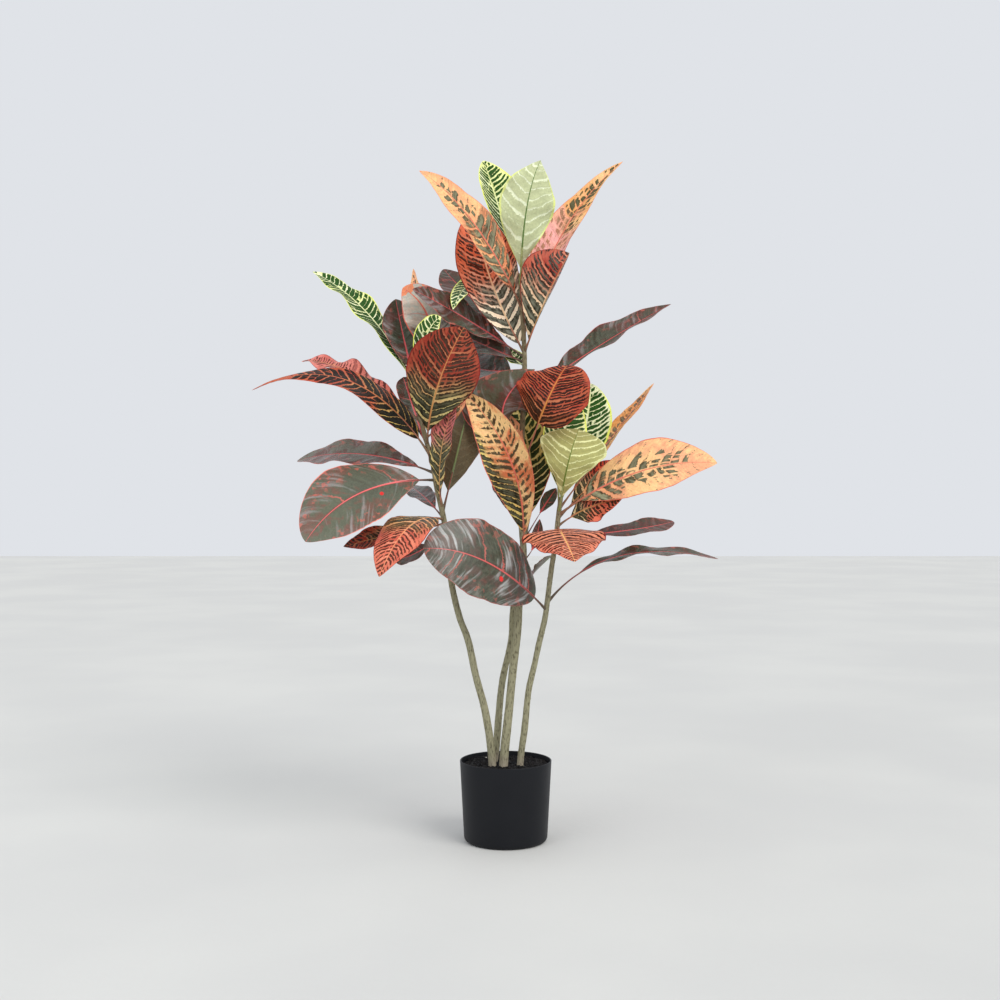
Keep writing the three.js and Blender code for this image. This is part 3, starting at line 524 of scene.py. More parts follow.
class Field:
    """A node's output, with the arithmetic of the Math and Vector Math nodes."""

    def __init__(self, tree, socket):
        self.tree = tree
        self.socket = socket

    __add__ = __radd__ = maths("ADD")
    __mul__ = __rmul__ = maths("MULTIPLY")
    __sub__, __rsub__ = maths("SUBTRACT"), maths("SUBTRACT", swapped=True)
    __truediv__, __pow__ = maths("DIVIDE"), maths("POWER")
    over, under = maths("GREATER_THAN"), maths("LESS_THAN")
    most, least = maths("MAXIMUM"), maths("MINIMUM")
    abs, sign, floor, fract = maths("ABSOLUTE"), maths("SIGN"), maths("FLOOR"), maths("FRACT")
    sine, cosine, exponent = maths("SINE"), maths("COSINE"), maths("EXPONENT")
    plus, minus, each = vectors("ADD"), vectors("SUBTRACT"), vectors("MULTIPLY")
    times, cross = vectors("SCALE"), vectors("CROSS_PRODUCT")
    unit, length = vectors("NORMALIZE"), vectors("LENGTH")

    def bell(self, width):
        """1 where this is 0, falling off within about width."""
        return (((self / width) ** 2) * -1).exponent()

    def rise(self, low, high):
        """A smooth step from 0 at low to 1 at high."""
        return put(self.tree, "ShaderNodeMapRange", self, low, high, 0, 1,
                   interpolation_type="SMOOTHSTEP")

    def blend(self, low, high):
        """low where this is 0, high where it is 1."""
        return put(self.tree, "ShaderNodeMix", self, low, high, data_type="FLOAT")

    def paint(self, low, high):
        """Colour low where this is 0, colour high where it is 1."""
        return put(self.tree, "ShaderNodeMix", self, low, high, data_type="RGBA")

    def noise(self, scale, detail=2.0):
        """Even noise from 0 to 1 at this place."""
        return put(self.tree, "ShaderNodeTexNoise", self, scale, detail)

    def of(self, name):
        """Another output of the same node."""
        return Field(self.tree, self.socket.node.outputs[name])

    def parts(self):
        x = put(self.tree, "ShaderNodeSeparateXYZ", self)
        return x, x.of("Y"), x.of("Z")


def combine(tree, x, y, z):
    return put(tree, "ShaderNodeCombineXYZ", x, y, z)


def key(label):
    return label.lower().replace(" ", "_")


def new_tree(name, kind, inputs, outputs):
    """An empty node group with sockets by type: the tree, its inputs as fields, its output node."""
    tree = bpy.data.node_groups.new(name, kind)
    for way, sockets in (("INPUT", inputs), ("OUTPUT", outputs)):
        for socket_type, labels in sockets.items():
            for label in labels:
                tree.interface.new_socket(label, in_out=way, socket_type=f"NodeSocket{socket_type}")
    source = tree.nodes.new("NodeGroupInput")
    fields = {key(socket.name): Field(tree, socket) for socket in source.outputs if socket.name}
    return tree, SimpleNamespace(**fields), tree.nodes.new("NodeGroupOutput")


# ---------------------------------------------------------------- pieces


def drawn_mesh(name, points, edges, faces):
    mesh = bpy.data.meshes.new(name)
    mesh.from_pydata(points, edges, faces)
    return mesh


def add_object(name, data, place=(0, 0, 0)):
    """A new object in the scene."""
    made = bpy.data.objects.new(name, data)
    made.location = place
    bpy.context.scene.collection.objects.link(made)
    return made


def grow(name, mesh, tree, values, node):
    """A piece grown by a node tree from a mesh, made plain, and set in the frame for a CAD node."""
    piece = add_object(name, mesh)
    modifier = piece.modifiers.new(tree.name, "NODES")
    modifier.node_group = tree
    for item in tree.interface.items_tree:
        if item.in_out == "INPUT" and key(item.name) in values:
            modifier[item.identifier] = values[key(item.name)]
    depsgraph = bpy.context.evaluated_depsgraph_get()
    grown = bpy.data.meshes.new_from_object(piece.evaluated_get(depsgraph), depsgraph=depsgraph)
    piece.modifiers.clear()
    piece.data = grown
    bpy.data.meshes.remove(mesh)
    settle(piece, node)


def settle(piece, node):
    """Names the mesh, keeps sharp edges sharp and ties the piece to the frame."""
    piece.data.name = piece.name
    piece.data.shade_smooth()
    piece.data.set_sharp_from_angle(angle=SHARP_EDGE)
    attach(piece, BODY)
    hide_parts(node)


# ---------------------------------------------------------------- materials

PAINT_SEED = 7.0


def new_material(name):
    material = bpy.data.materials.new(name)
    material.use_nodes = True
    return material, material.node_tree


def object_place(tree):
    return put(tree, "ShaderNodeTexCoord").of("Object")


def surface(material, colour, roughness, height, bump, specular=0.5):
    """Gives a material its shader: colour, roughness and height are fields of its own tree."""
    tree = material.node_tree
    relief = put(tree, "ShaderNodeBump", inputs={"Strength": 1, "Distance": bump, "Height": height})
    sockets = tree.nodes["Principled BSDF"].inputs
    for label, value in (("Base Color", colour), ("Roughness", roughness), ("Normal", relief),
                         ("Specular IOR Level", specular)):
        feed(tree, value, sockets[label])
    return material


def leaf_paint_tree():
    """Paints a blade from its own attributes: across and along run over it, vein counts its side
    veins, reach is the distance from the midrib, and upper tells its two sides apart."""
    values = painted_values(LEAVES[0])
    colours = [name for name, value in values.items() if isinstance(value, tuple)]
    shares = [name for name in values if name not in colours]
    tree, paint, result = new_tree("croton leaf paint", "ShaderNodeTree",
                                   {"Color": colours, "Float": [*shares, "long", "seed"]},
                                   {"Color": ["Colour"], "Float": ["Roughness", "Height"]})

    def own(name):
        return put(tree, "ShaderNodeAttribute", attribute_name=name).of("Fac")

    across, along, vein, reach = (own(name) for name in ("across", "along", "vein", "reach"))
    out = across.abs()
    place = object_place(tree)
    broad, middle, fine = place.noise(16, 1), place.noise(70, 2), place.noise(330, 3)
    streak = combine(tree, vein * 3.2, reach * 50, paint.seed).noise(1.0, 3) - 0.5

    line_place = vein + ((middle - 0.5) * 0.6 + (fine - 0.5) * 0.24)
    cell = line_place.floor() + across.over(0) * 41 + paint.seed
    chance = put(tree, "ShaderNodeTexWhiteNoise", cell, noise_dimensions="1D")
    other_chance = put(tree, "ShaderNodeTexWhiteNoise", cell + 0.37, noise_dimensions="1D")
    from_middle = (line_place.fract() - 0.5 + (other_chance - 0.5) * 0.2).abs() * 2
    half_middle = ((line_place * 2).fract() - 0.5 + (other_chance - 0.5) * 0.4).abs() * 2
    turn = along + (broad - 0.5) * 0.4 + (chance - 0.5) * 0.15 - paint.tilt * across
    turn = turn.rise(paint.change - paint.blend, paint.change + paint.blend)

    # Dark tissue between the veins: broad cells near the stalk, thin broken stripes near the tip.
    crumb = combine(tree, cell * 5.3, reach * 150, along * 6).noise(1.0, 1)
    rough = (fine - 0.5) * paint.ragged + (middle - 0.5) * paint.ragged * 0.6
    rough = rough + streak * paint.streaks
    spread = turn.blend(1.3, paint.spread) + (chance - 0.5) * paint.luck * 0.8
    lasting = 1 - (out + (middle - 0.5) * 0.2).rise(spread - 0.14, spread + 0.06)
    cleared = (along + (chance - 0.5) * 0.12).rise(paint.clear - 0.04, paint.clear + 0.02)
    lasting = lasting * (1 - cleared)
    narrow = 1.08 - out * 0.2 + (other_chance - 0.5) * paint.luck
    base_fill = narrow * paint.fill_base
    tip_fill = narrow * paint.fill_tip * lasting
    base_cell = 1 - (from_middle + rough).rise(base_fill - 0.12, base_fill + 0.06)
    base_cell = base_cell * crumb.rise(paint.break_base - 0.04, paint.break_base + 0.04)
    finer = paint.fineness.blend(from_middle, half_middle)
    tip_cell = 1 - (finer + rough).rise(tip_fill - 0.14, tip_fill + 0.08)
    tip_cell = tip_cell * crumb.rise(paint.break_tip - 0.05, paint.break_tip + 0.05)
    tissue = turn.blend(base_cell, tip_cell) * out.rise(0.01, 0.07)
    core = 1 - ((from_middle + rough) / base_fill).rise(0.35, 0.95)
    core = core * (crumb * 0.6 + streak + 0.3).rise(0.35, 0.75) * paint.core * (1 - turn * 0.5)

    flush = (broad + (middle - 0.5) * 0.5 + streak * 0.3).rise(0.4, 0.62) * paint.flush_amount
    flush = flush * turn.blend(0.35, 1.0)
    bands = turn.paint(paint.band_base, paint.band_tip)
    green = core.paint(turn.paint(paint.tissue_base, paint.tissue_tip), paint.tissue_core)
    cloud = (broad + (middle - 0.5) * 0.9 + streak * 0.4).rise(0.4, 0.62) * paint.cloud
    green = (cloud * 0.85).paint(green, bands)
    colour = tissue.paint(flush.paint(bands, paint.flush), green)

    # Over it the side veins, painted sheen, blots, one dot, the margin and the midrib.
    line = (from_middle + (fine - 0.5) * 0.2).rise(0.8, 0.96)
    line = line * other_chance.over(paint.vein_rarity)
    colour = (line * paint.vein_show * (1.15 - out)).paint(colour, paint.vein)
    # Painted reflection: a pale film between the veins stands in for the dark leaves' gloss.
    painted_sheen_film = combine(tree, vein * 1.9, reach * 14, paint.seed + 5).noise(1.0, 2) - 0.5
    bloom = (painted_sheen_film + (broad - 0.5) * 0.5 + streak * 0.25).rise(0.02, 0.26)
    colour = (bloom * (1 - line) * paint.bloom).paint(colour, paint.bloom_colour)
    blot = place.noise(95, 2).rise(0.57, 0.64) * (out + (broad - 0.5)).rise(0.35, 0.85)
    colour = (blot * paint.blots).paint(colour, paint.blot)
    dot = combine(tree, reach * across.sign() - paint.dot_side * MM,
                  (along - paint.dot_along) * paint.long * MM, (fine - 0.5) * 0.002).length()
    dot = 1 - (dot / MM - paint.dot_size * (0.6 + middle * 0.8)).rise(-0.8, 0.4)
    colour = dot.paint(colour, paint.dot)
    rib_width = paint.rib_width * MM * (1.15 - along)
    rib = 1 - (reach + (fine - 0.5) * 0.0006).rise(rib_width * 0.7, rib_width * 1.15)
    rim_edge = 1 - paint.margin_width
    rim = (out + (middle - 0.5) * paint.margin_width).rise(rim_edge, rim_edge * 0.5 + 0.5)
    colour = rib.paint(rim.paint(colour, paint.margin), paint.midrib)

    below = (from_middle + (fine - 0.5) * 0.3).rise(0.72, 0.96) * 0.8
    below = below.paint(paint.under, paint.under_vein)
    below = rib.paint((rim * 0.5).paint(below, paint.margin), paint.under_midrib)
    colour = own("upper").over(0.5).paint(below, colour)
    shade = 0.7 + fine * 0.5 + middle * 0.3 + streak * 0.5
    feed(tree, colour.times(shade), result.inputs["Colour"])
    feed(tree, paint.matt + (middle - 0.5) * 0.2 + line * 0.08, result.inputs["Roughness"])
    feed(tree, fine * 0.5 + middle * 0.6 - line * 0.35, result.inputs["Height"])
    return tree


def blade_material(row, number, length, group):
    """The material of one blade."""
    material, tree = new_material(f"{row.name} blade")
    values = {**painted_values(row), "long": length / MM, "seed": number * PAINT_SEED}
    colour = put(tree, "ShaderNodeGroup", node_tree=group, inputs=values)
    return surface(material, colour, colour.of("Roughness"), colour.of("Height"), 0.0006,
                   leaf_paint(row)["sheen"])


def stalk_material(kind):
    material, tree = new_material(f"{kind} leaf stalk")
    near_stem, near_blade = (srgb(*colour) for colour in STALK_COLOURS[kind])
    along = put(tree, "ShaderNodeAttribute", attribute_name="along").of("Fac")
    place = object_place(tree)
    mottle = place.noise(420, 3)
    colour = (along + (place.noise(60) - 0.5) * 0.5).rise(0.1, 0.8).paint(near_stem, near_blade)
    colour = (mottle.rise(0.45, 0.7) * 0.35).paint(colour, srgb(84, 70, 56))
    return surface(material, colour, 0.45 + mottle * 0.15, mottle, 0.0003, 0.25)


def bark_material(settings):
    material, tree = new_material("croton bark")
    place = object_place(tree)
    stretched = place.each((1.0, 1.0, 0.35))
    grain, patches = stretched.noise(420, 4), stretched.noise(90, 3)
    height = place.parts()[2]
    upward = (height + (patches - 0.5) * 0.12).rise(0.35, 0.72)
    colour = upward.paint(tuple(settings.old), tuple(settings.young))
    # Painted shade: a darker colour in the grooves, where the bark's relief sinks.
    colour = (grain.rise(0.5, 0.68) * 0.6).paint(colour, tuple(settings.shade))
    colour = (patches.rise(0.55, 0.75) * 0.35).paint(colour, srgb(176, 170, 140))
    colour = ((1 - height.rise(0.132, 0.16)) * 0.5).paint(colour, srgb(176, 160, 146))
    relief = patches * 0.6 - grain.rise(0.5, 0.7)
    return surface(material, colour, 0.62 + grain * 0.25, relief, 0.0007, 0.2)


def plastic_material(settings):
    material, tree = new_material("pot plastic")
    place = object_place(tree)
    cloud, grain = place.noise(24, 3), place.noise(900, 2)
    streak = place.each((1.0, 1.0, 0.08)).noise(150, 3)
    scuff = streak.rise(0.66, 0.8) * cloud.rise(0.45, 0.7)
    colour = (cloud * 0.25).paint(tuple(settings.colour), srgb(34, 34, 40))
    colour = (scuff * 0.5).paint(colour, srgb(52, 52, 56))
    return surface(material, colour, 0.42 + cloud * 0.14 + scuff * 0.2, grain * 0.5 + streak * 0.3,
                   0.00025, 0.25)


def soil_material(settings):
    material, tree = new_material("damp soil")
    place = object_place(tree)
    crumbs = place.noise(260, 4)
    colour = place.noise(70, 2).rise(0.35, 0.75).paint(tuple(settings.colour), srgb(36, 33, 32))
    colour = (crumbs.rise(0.6, 0.8) * 0.5).paint(colour, srgb(60, 56, 54))
    return surface(material, colour, 0.5 + crumbs * 0.45, crumbs, 0.0015, 0.2)


def grain_material(settings):
    material, tree = new_material("pale grain")
    pores = object_place(tree).noise(1500, 3)
    colour = pores.rise(0.4, 0.7).paint(tuple(settings.speck), srgb(196, 190, 178))
    return surface(material, colour, 0.8 + pores * 0.1, pores, 0.0003)


def floor_material():
    material, tree = new_material("pale floor")
    place = object_place(tree)
    cloud = place.noise(1.4, 3)
    colour = cloud.rise(0.35, 0.7).paint(srgb(209, 209, 206), srgb(215, 215, 211))
    return surface(material, colour, 0.7 + cloud * 0.1, place.noise(60, 2), 0.0004)


# ---------------------------------------------------------------- node trees

SOLID = {"Geometry": ["Geometry"]}
STALK_SIDES = 10
STALK_RINGS = 18
MERGE = 0.00002

# How the points, veins and waves of a blade are laid out.
COLUMN_CROWDING = 0.12
VEIN_LEAN = 0.35
VEIN_BOW = 0.4
VEIN_WANDER = 0.5
HUMP = 0.0022
EDGE_STEEPNESS = 14
RIDGE_WIDTH = 0.0015
GUTTER = 0.0004
STALK_DROP = 0.001
STALK_SWELL = 0.0008

GOLDEN_ANGLE = 2.399963
SCAR_SEAT = 0.93
SCAR_FLATNESS = 0.4
LUMP_DEPTH = 0.0035
LUMP_HEIGHT = 0.012


def store(tree, geometry, name, value):
    return put(tree, "GeometryNodeStoreNamedAttribute", data_type="FLOAT", domain="POINT",
               inputs={"Geometry": geometry, "Name": name, "Value": value})


def shifted(tree, geometry, offset):
    return put(tree, "GeometryNodeSetPosition", geometry, inputs={"Offset": offset})


def join(tree, *parts):
    joined = put(tree, "GeometryNodeJoinGeometry")
    for part in parts:
        feed(tree, part, joined.socket.node.inputs[0])
    return joined


def sweep(tree, curve, sides, radius):
    """A closed round bar along a curve."""
    section = put(tree, "GeometryNodeCurvePrimitiveCircle",
                  inputs={"Resolution": sides, "Radius": 1})
    return put(tree, "GeometryNodeCurveToMesh", curve, section, radius, True)


def close(tree, result, parts, material, marked=None, other=None):
    """Ends a tree: the parts joined and made real, with their material, and another one on the part
    that bears an attribute."""
    whole = put(tree, "GeometryNodeRealizeInstances", join(tree, *parts))
    whole = put(tree, "GeometryNodeSetMaterial", whole, True, material)
    if marked:
        mark = put(tree, "GeometryNodeInputNamedAttribute", marked, data_type="FLOAT")
        whole = put(tree, "GeometryNodeSetMaterial", whole, mark.over(0.5), other)
    feed(tree, whole, result.inputs[0])
    return tree


def leaf_tree():
    """A waved blade of two thin layers closed at the edge, with midrib and veins, on its stalk."""
    tree, given, result = new_tree("croton leaf", "GeometryNodeTree", {
        "Vector": ["Start", "Bend", "Tip", "Face"],
        "Float": ["Begin", "Length", "Width", "Power", "Blunt", "Fold left", "Fold right",
                  "Curl left", "Curl right", "Wave", "Waves", "Phase left", "Phase right",
                  "Thickness", "Veins", "Vein relief", "Ripple", "Uneven", "Midrib",
                  "Stalk radius", "Stalk end", "Stalk share", "Start width", "Tip width", "Seed"],
        "Int": ["Columns", "Rows"],
        "Material": ["Blade paint", "Stalk paint"],
    }, SOLID)
    toward = given.bend.minus(given.start)

    def curve_point(share):
        rest = 1 - share
        point = given.start.times(rest * rest).plus(given.bend.times(2 * share * rest))
        return point.plus(given.tip.times(share * share))

    def curve_frame(share):
        tangent = toward.times(1 - share).plus(given.tip.minus(given.bend).times(share)).unit()
        sideways = tangent.cross(given.face).unit()
        return sideways, sideways.cross(tangent)

    grid = put(tree, "GeometryNodeMeshGrid", 2.0, 1.0, given.columns + 1, given.rows + 1)
    even, lengthwise, _ = put(tree, "GeometryNodeInputPosition").parts()
    share = lengthwise + 0.5
    side, right, even_out = even.sign(), even.over(0), even.abs()
    out = even_out - (even_out * TURN).sine() * COLUMN_CROWDING

    def chance(stretch, crosswise, seed, scale=1.0, detail=2.0):
        """Noise from -0.5 to 0.5 over the blade."""
        place = combine(tree, share * stretch, crosswise, given.seed + seed)
        return place.noise(scale, detail) - 0.5

    arch = (share * math.pi).sine().most(0)
    outline = ((share ** given.power) * math.pi).sine().most(0) ** given.blunt
    half = (given.width * outline).most(share.blend(given.start_width, given.tip_width)) / 2
    half = half * (1 + chance(5, side * 3, 0, 1.6) * 2 * given.uneven * arch)
    reach = half * out

    vein = given.veins * (share - reach * (VEIN_LEAN + VEIN_BOW * out) / given.length)
    vein = vein + chance(9, side * out * 2, 20) * VEIN_WANDER + even.under(0) * 0.5

    fold = right.blend(given.fold_left, given.fold_right)
    curl = right.blend(given.curl_left, given.curl_right)
    phase = right.blend(given.phase_left, given.phase_right)
    angle, slope = fold + curl * out / 2, fold + curl * out
    wave = (given.waves * share * TURN + phase).sine() * arch * out * out
    edge = chance(14, side * 5, 40, detail=1) * 2 * out ** 3 * arch ** 0.4 * given.ripple
    hump = chance(7, side * out * 2.2, 60)
    groove = ((vein * TURN).cosine() * 0.5 + 0.5) ** 2
    fade = out.rise(0.02, 0.25) * (1 - out.rise(0.8, 1.0)) * arch ** 0.5
    lift = (reach * angle.sine() + given.wave * wave + edge - groove * fade * given.vein_relief
            + hump * fade * HUMP)

    along = given.begin + (1 - given.begin) * share
    sideways, normal = curve_frame(along)
    point = curve_point(along).plus(sideways.times(side * reach * angle.cosine()))
    point = point.plus(normal.times(lift))
    outward = normal.times(slope.cosine()).minus(sideways.times(side * slope.sine()))
    taper = ((1 - out) * EDGE_STEEPNESS).least(1)
    taper = taper * (share * given.rows / 2).least(1) * ((1 - share) * given.rows / 2).least(1)
    ridge = reach.bell(RIDGE_WIDTH) * (1 - share * 0.7)
    above = (given.thickness / 2 - ridge * GUTTER) * taper
    beneath = (given.thickness / 2 + ridge * given.midrib) * taper * -1
    layers = []
    for layer, rise, upper in ((grid, above, 1.0),
                               (put(tree, "GeometryNodeFlipFaces", grid), beneath, 0.0)):
        for name, value in (("across", side * out), ("along", share), ("vein", vein),
                            ("reach", reach), ("upper", upper)):
            layer = store(tree, layer, name, value)
        place = point.plus(outward.times(rise))
        layers.append(put(tree, "GeometryNodeSetPosition", layer, True, place))
    blade = put(tree, "GeometryNodeMergeByDistance", join(tree, *layers),
                inputs={"Distance": MERGE})

    end = given.begin + (1 - given.begin) * given.stalk_share
    end_place = curve_point(end).plus(curve_frame(end)[1].times(-STALK_DROP))
    curve = put(tree, "GeometryNodeCurveQuadraticBezier", STALK_RINGS, given.start,
                given.start.plus(toward.times(end)), end_place)
    reached = put(tree, "GeometryNodeSplineParameter")
    curve = store(tree, store(tree, curve, "along", reached), "stalk", 1.0)
    radius = reached.blend(given.stalk_radius, given.stalk_end) + reached.bell(0.2) * STALK_SWELL
    stalk = sweep(tree, curve, STALK_SIDES, radius)
    return close(tree, result, (blade, stalk), given.blade_paint, "stalk", given.stalk_paint)


def stem_tree():
    """A woody stem along a chain of points, with swellings, bumps and the scars of old leaves."""
    tree, given, result = new_tree("croton stem", "GeometryNodeTree", {
        "Geometry": ["Line"],
        "Float": ["Foot radius", "Top radius", "Swell", "Relief", "Scar"],
        "Int": ["Scars", "Sides", "Rings"],
        "Material": ["Bark"],
    }, SOLID)
    curve = put(tree, "GeometryNodeMeshToCurve", given.line)
    curve = put(tree, "GeometryNodeResampleCurve", curve, True, given.rings)
    place = put(tree, "GeometryNodeInputPosition")
    even = put(tree, "GeometryNodeSplineParameter").blend(given.foot_radius, given.top_radius)
    bar = sweep(tree, curve, given.sides, even + (place.noise(28, 2) - 0.5) * 2 * given.swell)
    bumps = (place.each((1.0, 1.0, 0.3)).noise(190, 3) - 0.5) * 2 * given.relief
    bar = shifted(tree, bar, put(tree, "GeometryNodeInputNormal").times(bumps))

    points = put(tree, "GeometryNodeCurveToPoints", curve, given.scars)
    tangent, normal = points.of("Tangent"), points.of("Normal")
    index = put(tree, "GeometryNodeInputIndex")
    turn = index * GOLDEN_ANGLE
    outward = normal.times(turn.cosine()).plus(tangent.cross(normal).times(turn.sine()))
    thin = (index / (given.scars - 1)).blend(given.foot_radius, given.top_radius)
    scars = put(tree, "GeometryNodeInstanceOnPoints",
                shifted(tree, points, outward.times(thin * SCAR_SEAT)), inputs={
                    "Instance": put(tree, "GeometryNodeMeshUVSphere", 10, 6, given.scar),
                    "Rotation": put(tree, "FunctionNodeAlignRotationToVector", axis="Z",
                                    inputs={"Vector": outward}),
                    "Scale": (1.0, 1.0, SCAR_FLATNESS),
                })
    return close(tree, result, (bar, scars), given.bark)


def soil_tree():
    """Lumps and loose crumbs on the body of soil, and one pale grain."""
    tree, given, result = new_tree("croton soil", "GeometryNodeTree", {
        "Geometry": ["Body"],
        "Float": ["Top", "Crumb", "Crumbs", "Grain radius"],
        "Int": ["Seed"],
        "Vector": ["Grain place"],
        "Material": ["Soil", "Grain"],
    }, SOLID)
    place = put(tree, "GeometryNodeInputPosition")
    on_top = place.parts()[2].over(given.top - LUMP_DEPTH)
    lumps = (place.noise(55, 3) - 0.5) * LUMP_HEIGHT * on_top
    body = shifted(tree, given.body, combine(tree, 0.0, 0.0, lumps))
    scatter = put(tree, "GeometryNodeDistributePointsOnFaces", body, on_top, given.crumbs,
                  given.seed)

    def random_vector(low, high, seed):
        return put(tree, "FunctionNodeRandomValue", (low,) * 3, (high,) * 3,
                   data_type="FLOAT_VECTOR", inputs={"Seed": seed})

    crumbs = put(tree, "GeometryNodeInstanceOnPoints", scatter, inputs={
        "Instance": put(tree, "GeometryNodeMeshIcoSphere", given.crumb, 1),
        "Rotation": put(tree, "FunctionNodeEulerToRotation", random_vector(0.0, 6.28, 3)),
        "Scale": random_vector(0.35, 1.35, 4),
    })
    grain = store(tree, put(tree, "GeometryNodeMeshIcoSphere", given.grain_radius, 3), "grain", 1.0)
    grain = shifted(tree, grain, given.grain_place)
    return close(tree, result, (body, crumbs, grain), given.soil, "grain", given.grain)


# ---------------------------------------------------------------- the lines of stems and leaves

HALVINGS = 24
SMALL_LEAF = 60
SMALL_STALK = 0.6
FEWEST_VEINS = 5
FEWEST_ROWS = 24
LEAF_SEED = 3.7
STALK_SHARE = 0.16
START_WIDTH = 0.003
TIP_WIDTH = 0.0012


def spline_cubic(points, times, share):
    """The point of a Catmull-Rom stretch between the second and third of four points."""
    first, second, third, fourth = points
    before, between, after = times
    start = ((second - first) / before - (third - first) / (before + between)
             + (third - second) / between) * between
    end = ((third - second) / between - (fourth - second) / (between + after)
           + (fourth - third) / after) * between
    return (second + start * share + (3 * (third - second) - 2 * start - end) * share ** 2
            + (2 * (second - third) + start + end) * share ** 3)


def stem_point(stem, share):
    """The point of a stem's middle line, in millimetres, at a share of its control points."""
    first = stem["line"][0]
    points = [Vector((first[0], first[1], STEM_FOOT))] + [Vector(p) for p in stem["line"]]
    place = share * (len(points) - 1)
    index = min(int(place), len(points) - 2)
    before = points[index - 1] if index > 0 else 2 * points[0] - points[1]
    after = points[index + 2] if index + 2 < len(points) else 2 * points[-1] - points[-2]
    four = (before, points[index], points[index + 1], after)
    times = [(b - a).length ** 0.5 for a, b in zip(four, four[1:])]
    return spline_cubic(four, times, place - index)


def stem_point_at(stem, height):
    """The point of a stem's middle line at a height, found by halving."""
    low, high = 0.0, 1.0
    for _ in range(HALVINGS):
        middle = (low + high) / 2
        if stem_point(stem, middle).z < height:
            low = middle
        else:
            high = middle
    return stem_point(stem, low)


def draw(number):
    """A repeatable number from 0 to 1 for each number."""
    wide = math.sin(number * 12.9898) * 43758.5453
    return wide - math.floor(wide)


def curve_length(start, bend, tip, steps=200):
    points = [(1 - s) ** 2 * start + 2 * s * (1 - s) * bend + s * s * tip
              for s in (i / steps for i in range(steps + 1))]
    return sum((b - a).length for a, b in zip(points, points[1:]))


def leaf_values(row, number, settings):
    """What the leaf tree is given for one leaf, in metres."""
    start = stem_point_at(STEMS[row.stem], row.height) * MM
    tip = Vector(row.tip) * MM
    bend = 2 * Vector(row.via) * MM - (start + tip) / 2
    length = curve_length(start, bend, tip)
    begin = row.stalk * MM / length
    blade = length * (1 - begin)
    size = min(1, row.width / SMALL_LEAF)
    veins = round(blade / settings.vein_gap / leaf_paint(row)["gap"])
    values = dict(
        start=start, bend=bend, tip=tip, face=Vector(row.face), begin=begin, length=blade,
        width=row.width * MM, blunt=row.blunt, power=math.log(0.5) / math.log(row.widest),
        wave=row.wave * MM, waves=2.0 + math.floor(draw(number + 0.5) + 0.5),
        thickness=settings.thickness, veins=float(max(FEWEST_VEINS, veins)),
        vein_relief=settings.relief * size, ripple=settings.ripple * size, uneven=settings.uneven,
        midrib=settings.midrib * size, stalk_end=settings.stalk_end * size,
        stalk_radius=settings.stalk * (SMALL_STALK + (1 - SMALL_STALK) * size),
        stalk_share=STALK_SHARE, start_width=START_WIDTH, tip_width=TIP_WIDTH,
        seed=number * LEAF_SEED, columns=settings.columns,
        rows=max(FEWEST_ROWS, round(blade / settings.row)),
    )
    for i, side in enumerate(("left", "right")):
        values[f"fold_{side}"] = math.radians(row.fold[i])
        values[f"curl_{side}"] = math.radians(row.curl[i])
        values[f"phase_{side}"] = TURN * draw(2 * number + i)
    return values


# ---------------------------------------------------------------- operators

CORNER_STEPS = 8
FOOT_HOLLOW = 0.0008
FOOT_RING = (0.86, 0.88)
SOIL_FLOOR_GAP = 0.0003
SOIL_CORNER = 0.008
SOIL_WALL_GAP = 0.001
SOIL_EDGE_GAP = 0.0004
SOIL_EDGE_DROP = 0.003
SOIL_RINGS = 22
SOIL_SIDES = 64
GRAIN_PLACE = (-0.035, 0.045, 0.1335)
GRAIN_RADIUS = 0.0021
STEM_STEPS = 120

FLOOR = 11.2
ROOM_COLOUR = (224, 227, 232)
ROOM_LIGHT = 1.0
CAMERA_PLACE = (-0.010, -2.215, 0.594)
CAMERA_LENS = 45.6
CAMERA_REACH = 100
LAMP_TARGET = (0, 0, 0.6)
LAMPS = {
    "key": ("SUN", (1.5, -1.6, 2.6),
            {"energy": 1.4, "angle": math.radians(34), "color": (1.0, 0.98, 0.95)}),
    "fill": ("AREA", (-2.4, -2.6, 2.2), {"energy": 26, "size": 2.2, "color": (0.95, 0.97, 1.0)}),
}


def pot_profile(pot):
    """Radius and height of the wall, from the middle of the underside round to the inside middle."""
    base, rim, round_rim = pot.base_diameter / 2, pot.rim_diameter / 2, pot.wall / 2
    profile = [(0, FOOT_HOLLOW), (base * FOOT_RING[0], FOOT_HOLLOW), (base * FOOT_RING[1], 0)]
    shares = [i / CORNER_STEPS for i in range(CORNER_STEPS + 1)]
    for share in shares:
        angle = math.pi / 2 * share
        profile.append((base - pot.corner + pot.corner * math.sin(angle),
                        pot.corner - pot.corner * math.cos(angle)))
    for share in shares:
        angle = math.pi * share
        profile.append((rim - round_rim + round_rim * math.cos(angle),
                        pot.height - round_rim + round_rim * math.sin(angle)))
    profile += [(base - pot.wall, pot.shoulder), (base - pot.corner, pot.floor), (0, pot.floor)]
    return profile


def lathe_mesh(name, profile, sides):
    """A closed body turned about the Z axis from radius and height pairs."""
    body = bmesh.new()
    rings = []
    for radius, height in profile:
        angles = [TURN * i / sides for i in range(sides)] if radius else [0]
        rings.append([body.verts.new((radius * math.cos(a), radius * math.sin(a), height))
                      for a in angles])
    for lower, upper in zip(rings, rings[1:]):
        for i in range(sides):
            corners = [lower[i % len(lower)], lower[(i + 1) % len(lower)],
                       upper[(i + 1) % len(upper)], upper[i % len(upper)]]
            body.faces.new(list(dict.fromkeys(corners)))
    bmesh.ops.recalc_face_normals(body, faces=body.faces)
    mesh = bpy.data.meshes.new(name)
    body.to_mesh(mesh)
    body.free()
    return mesh


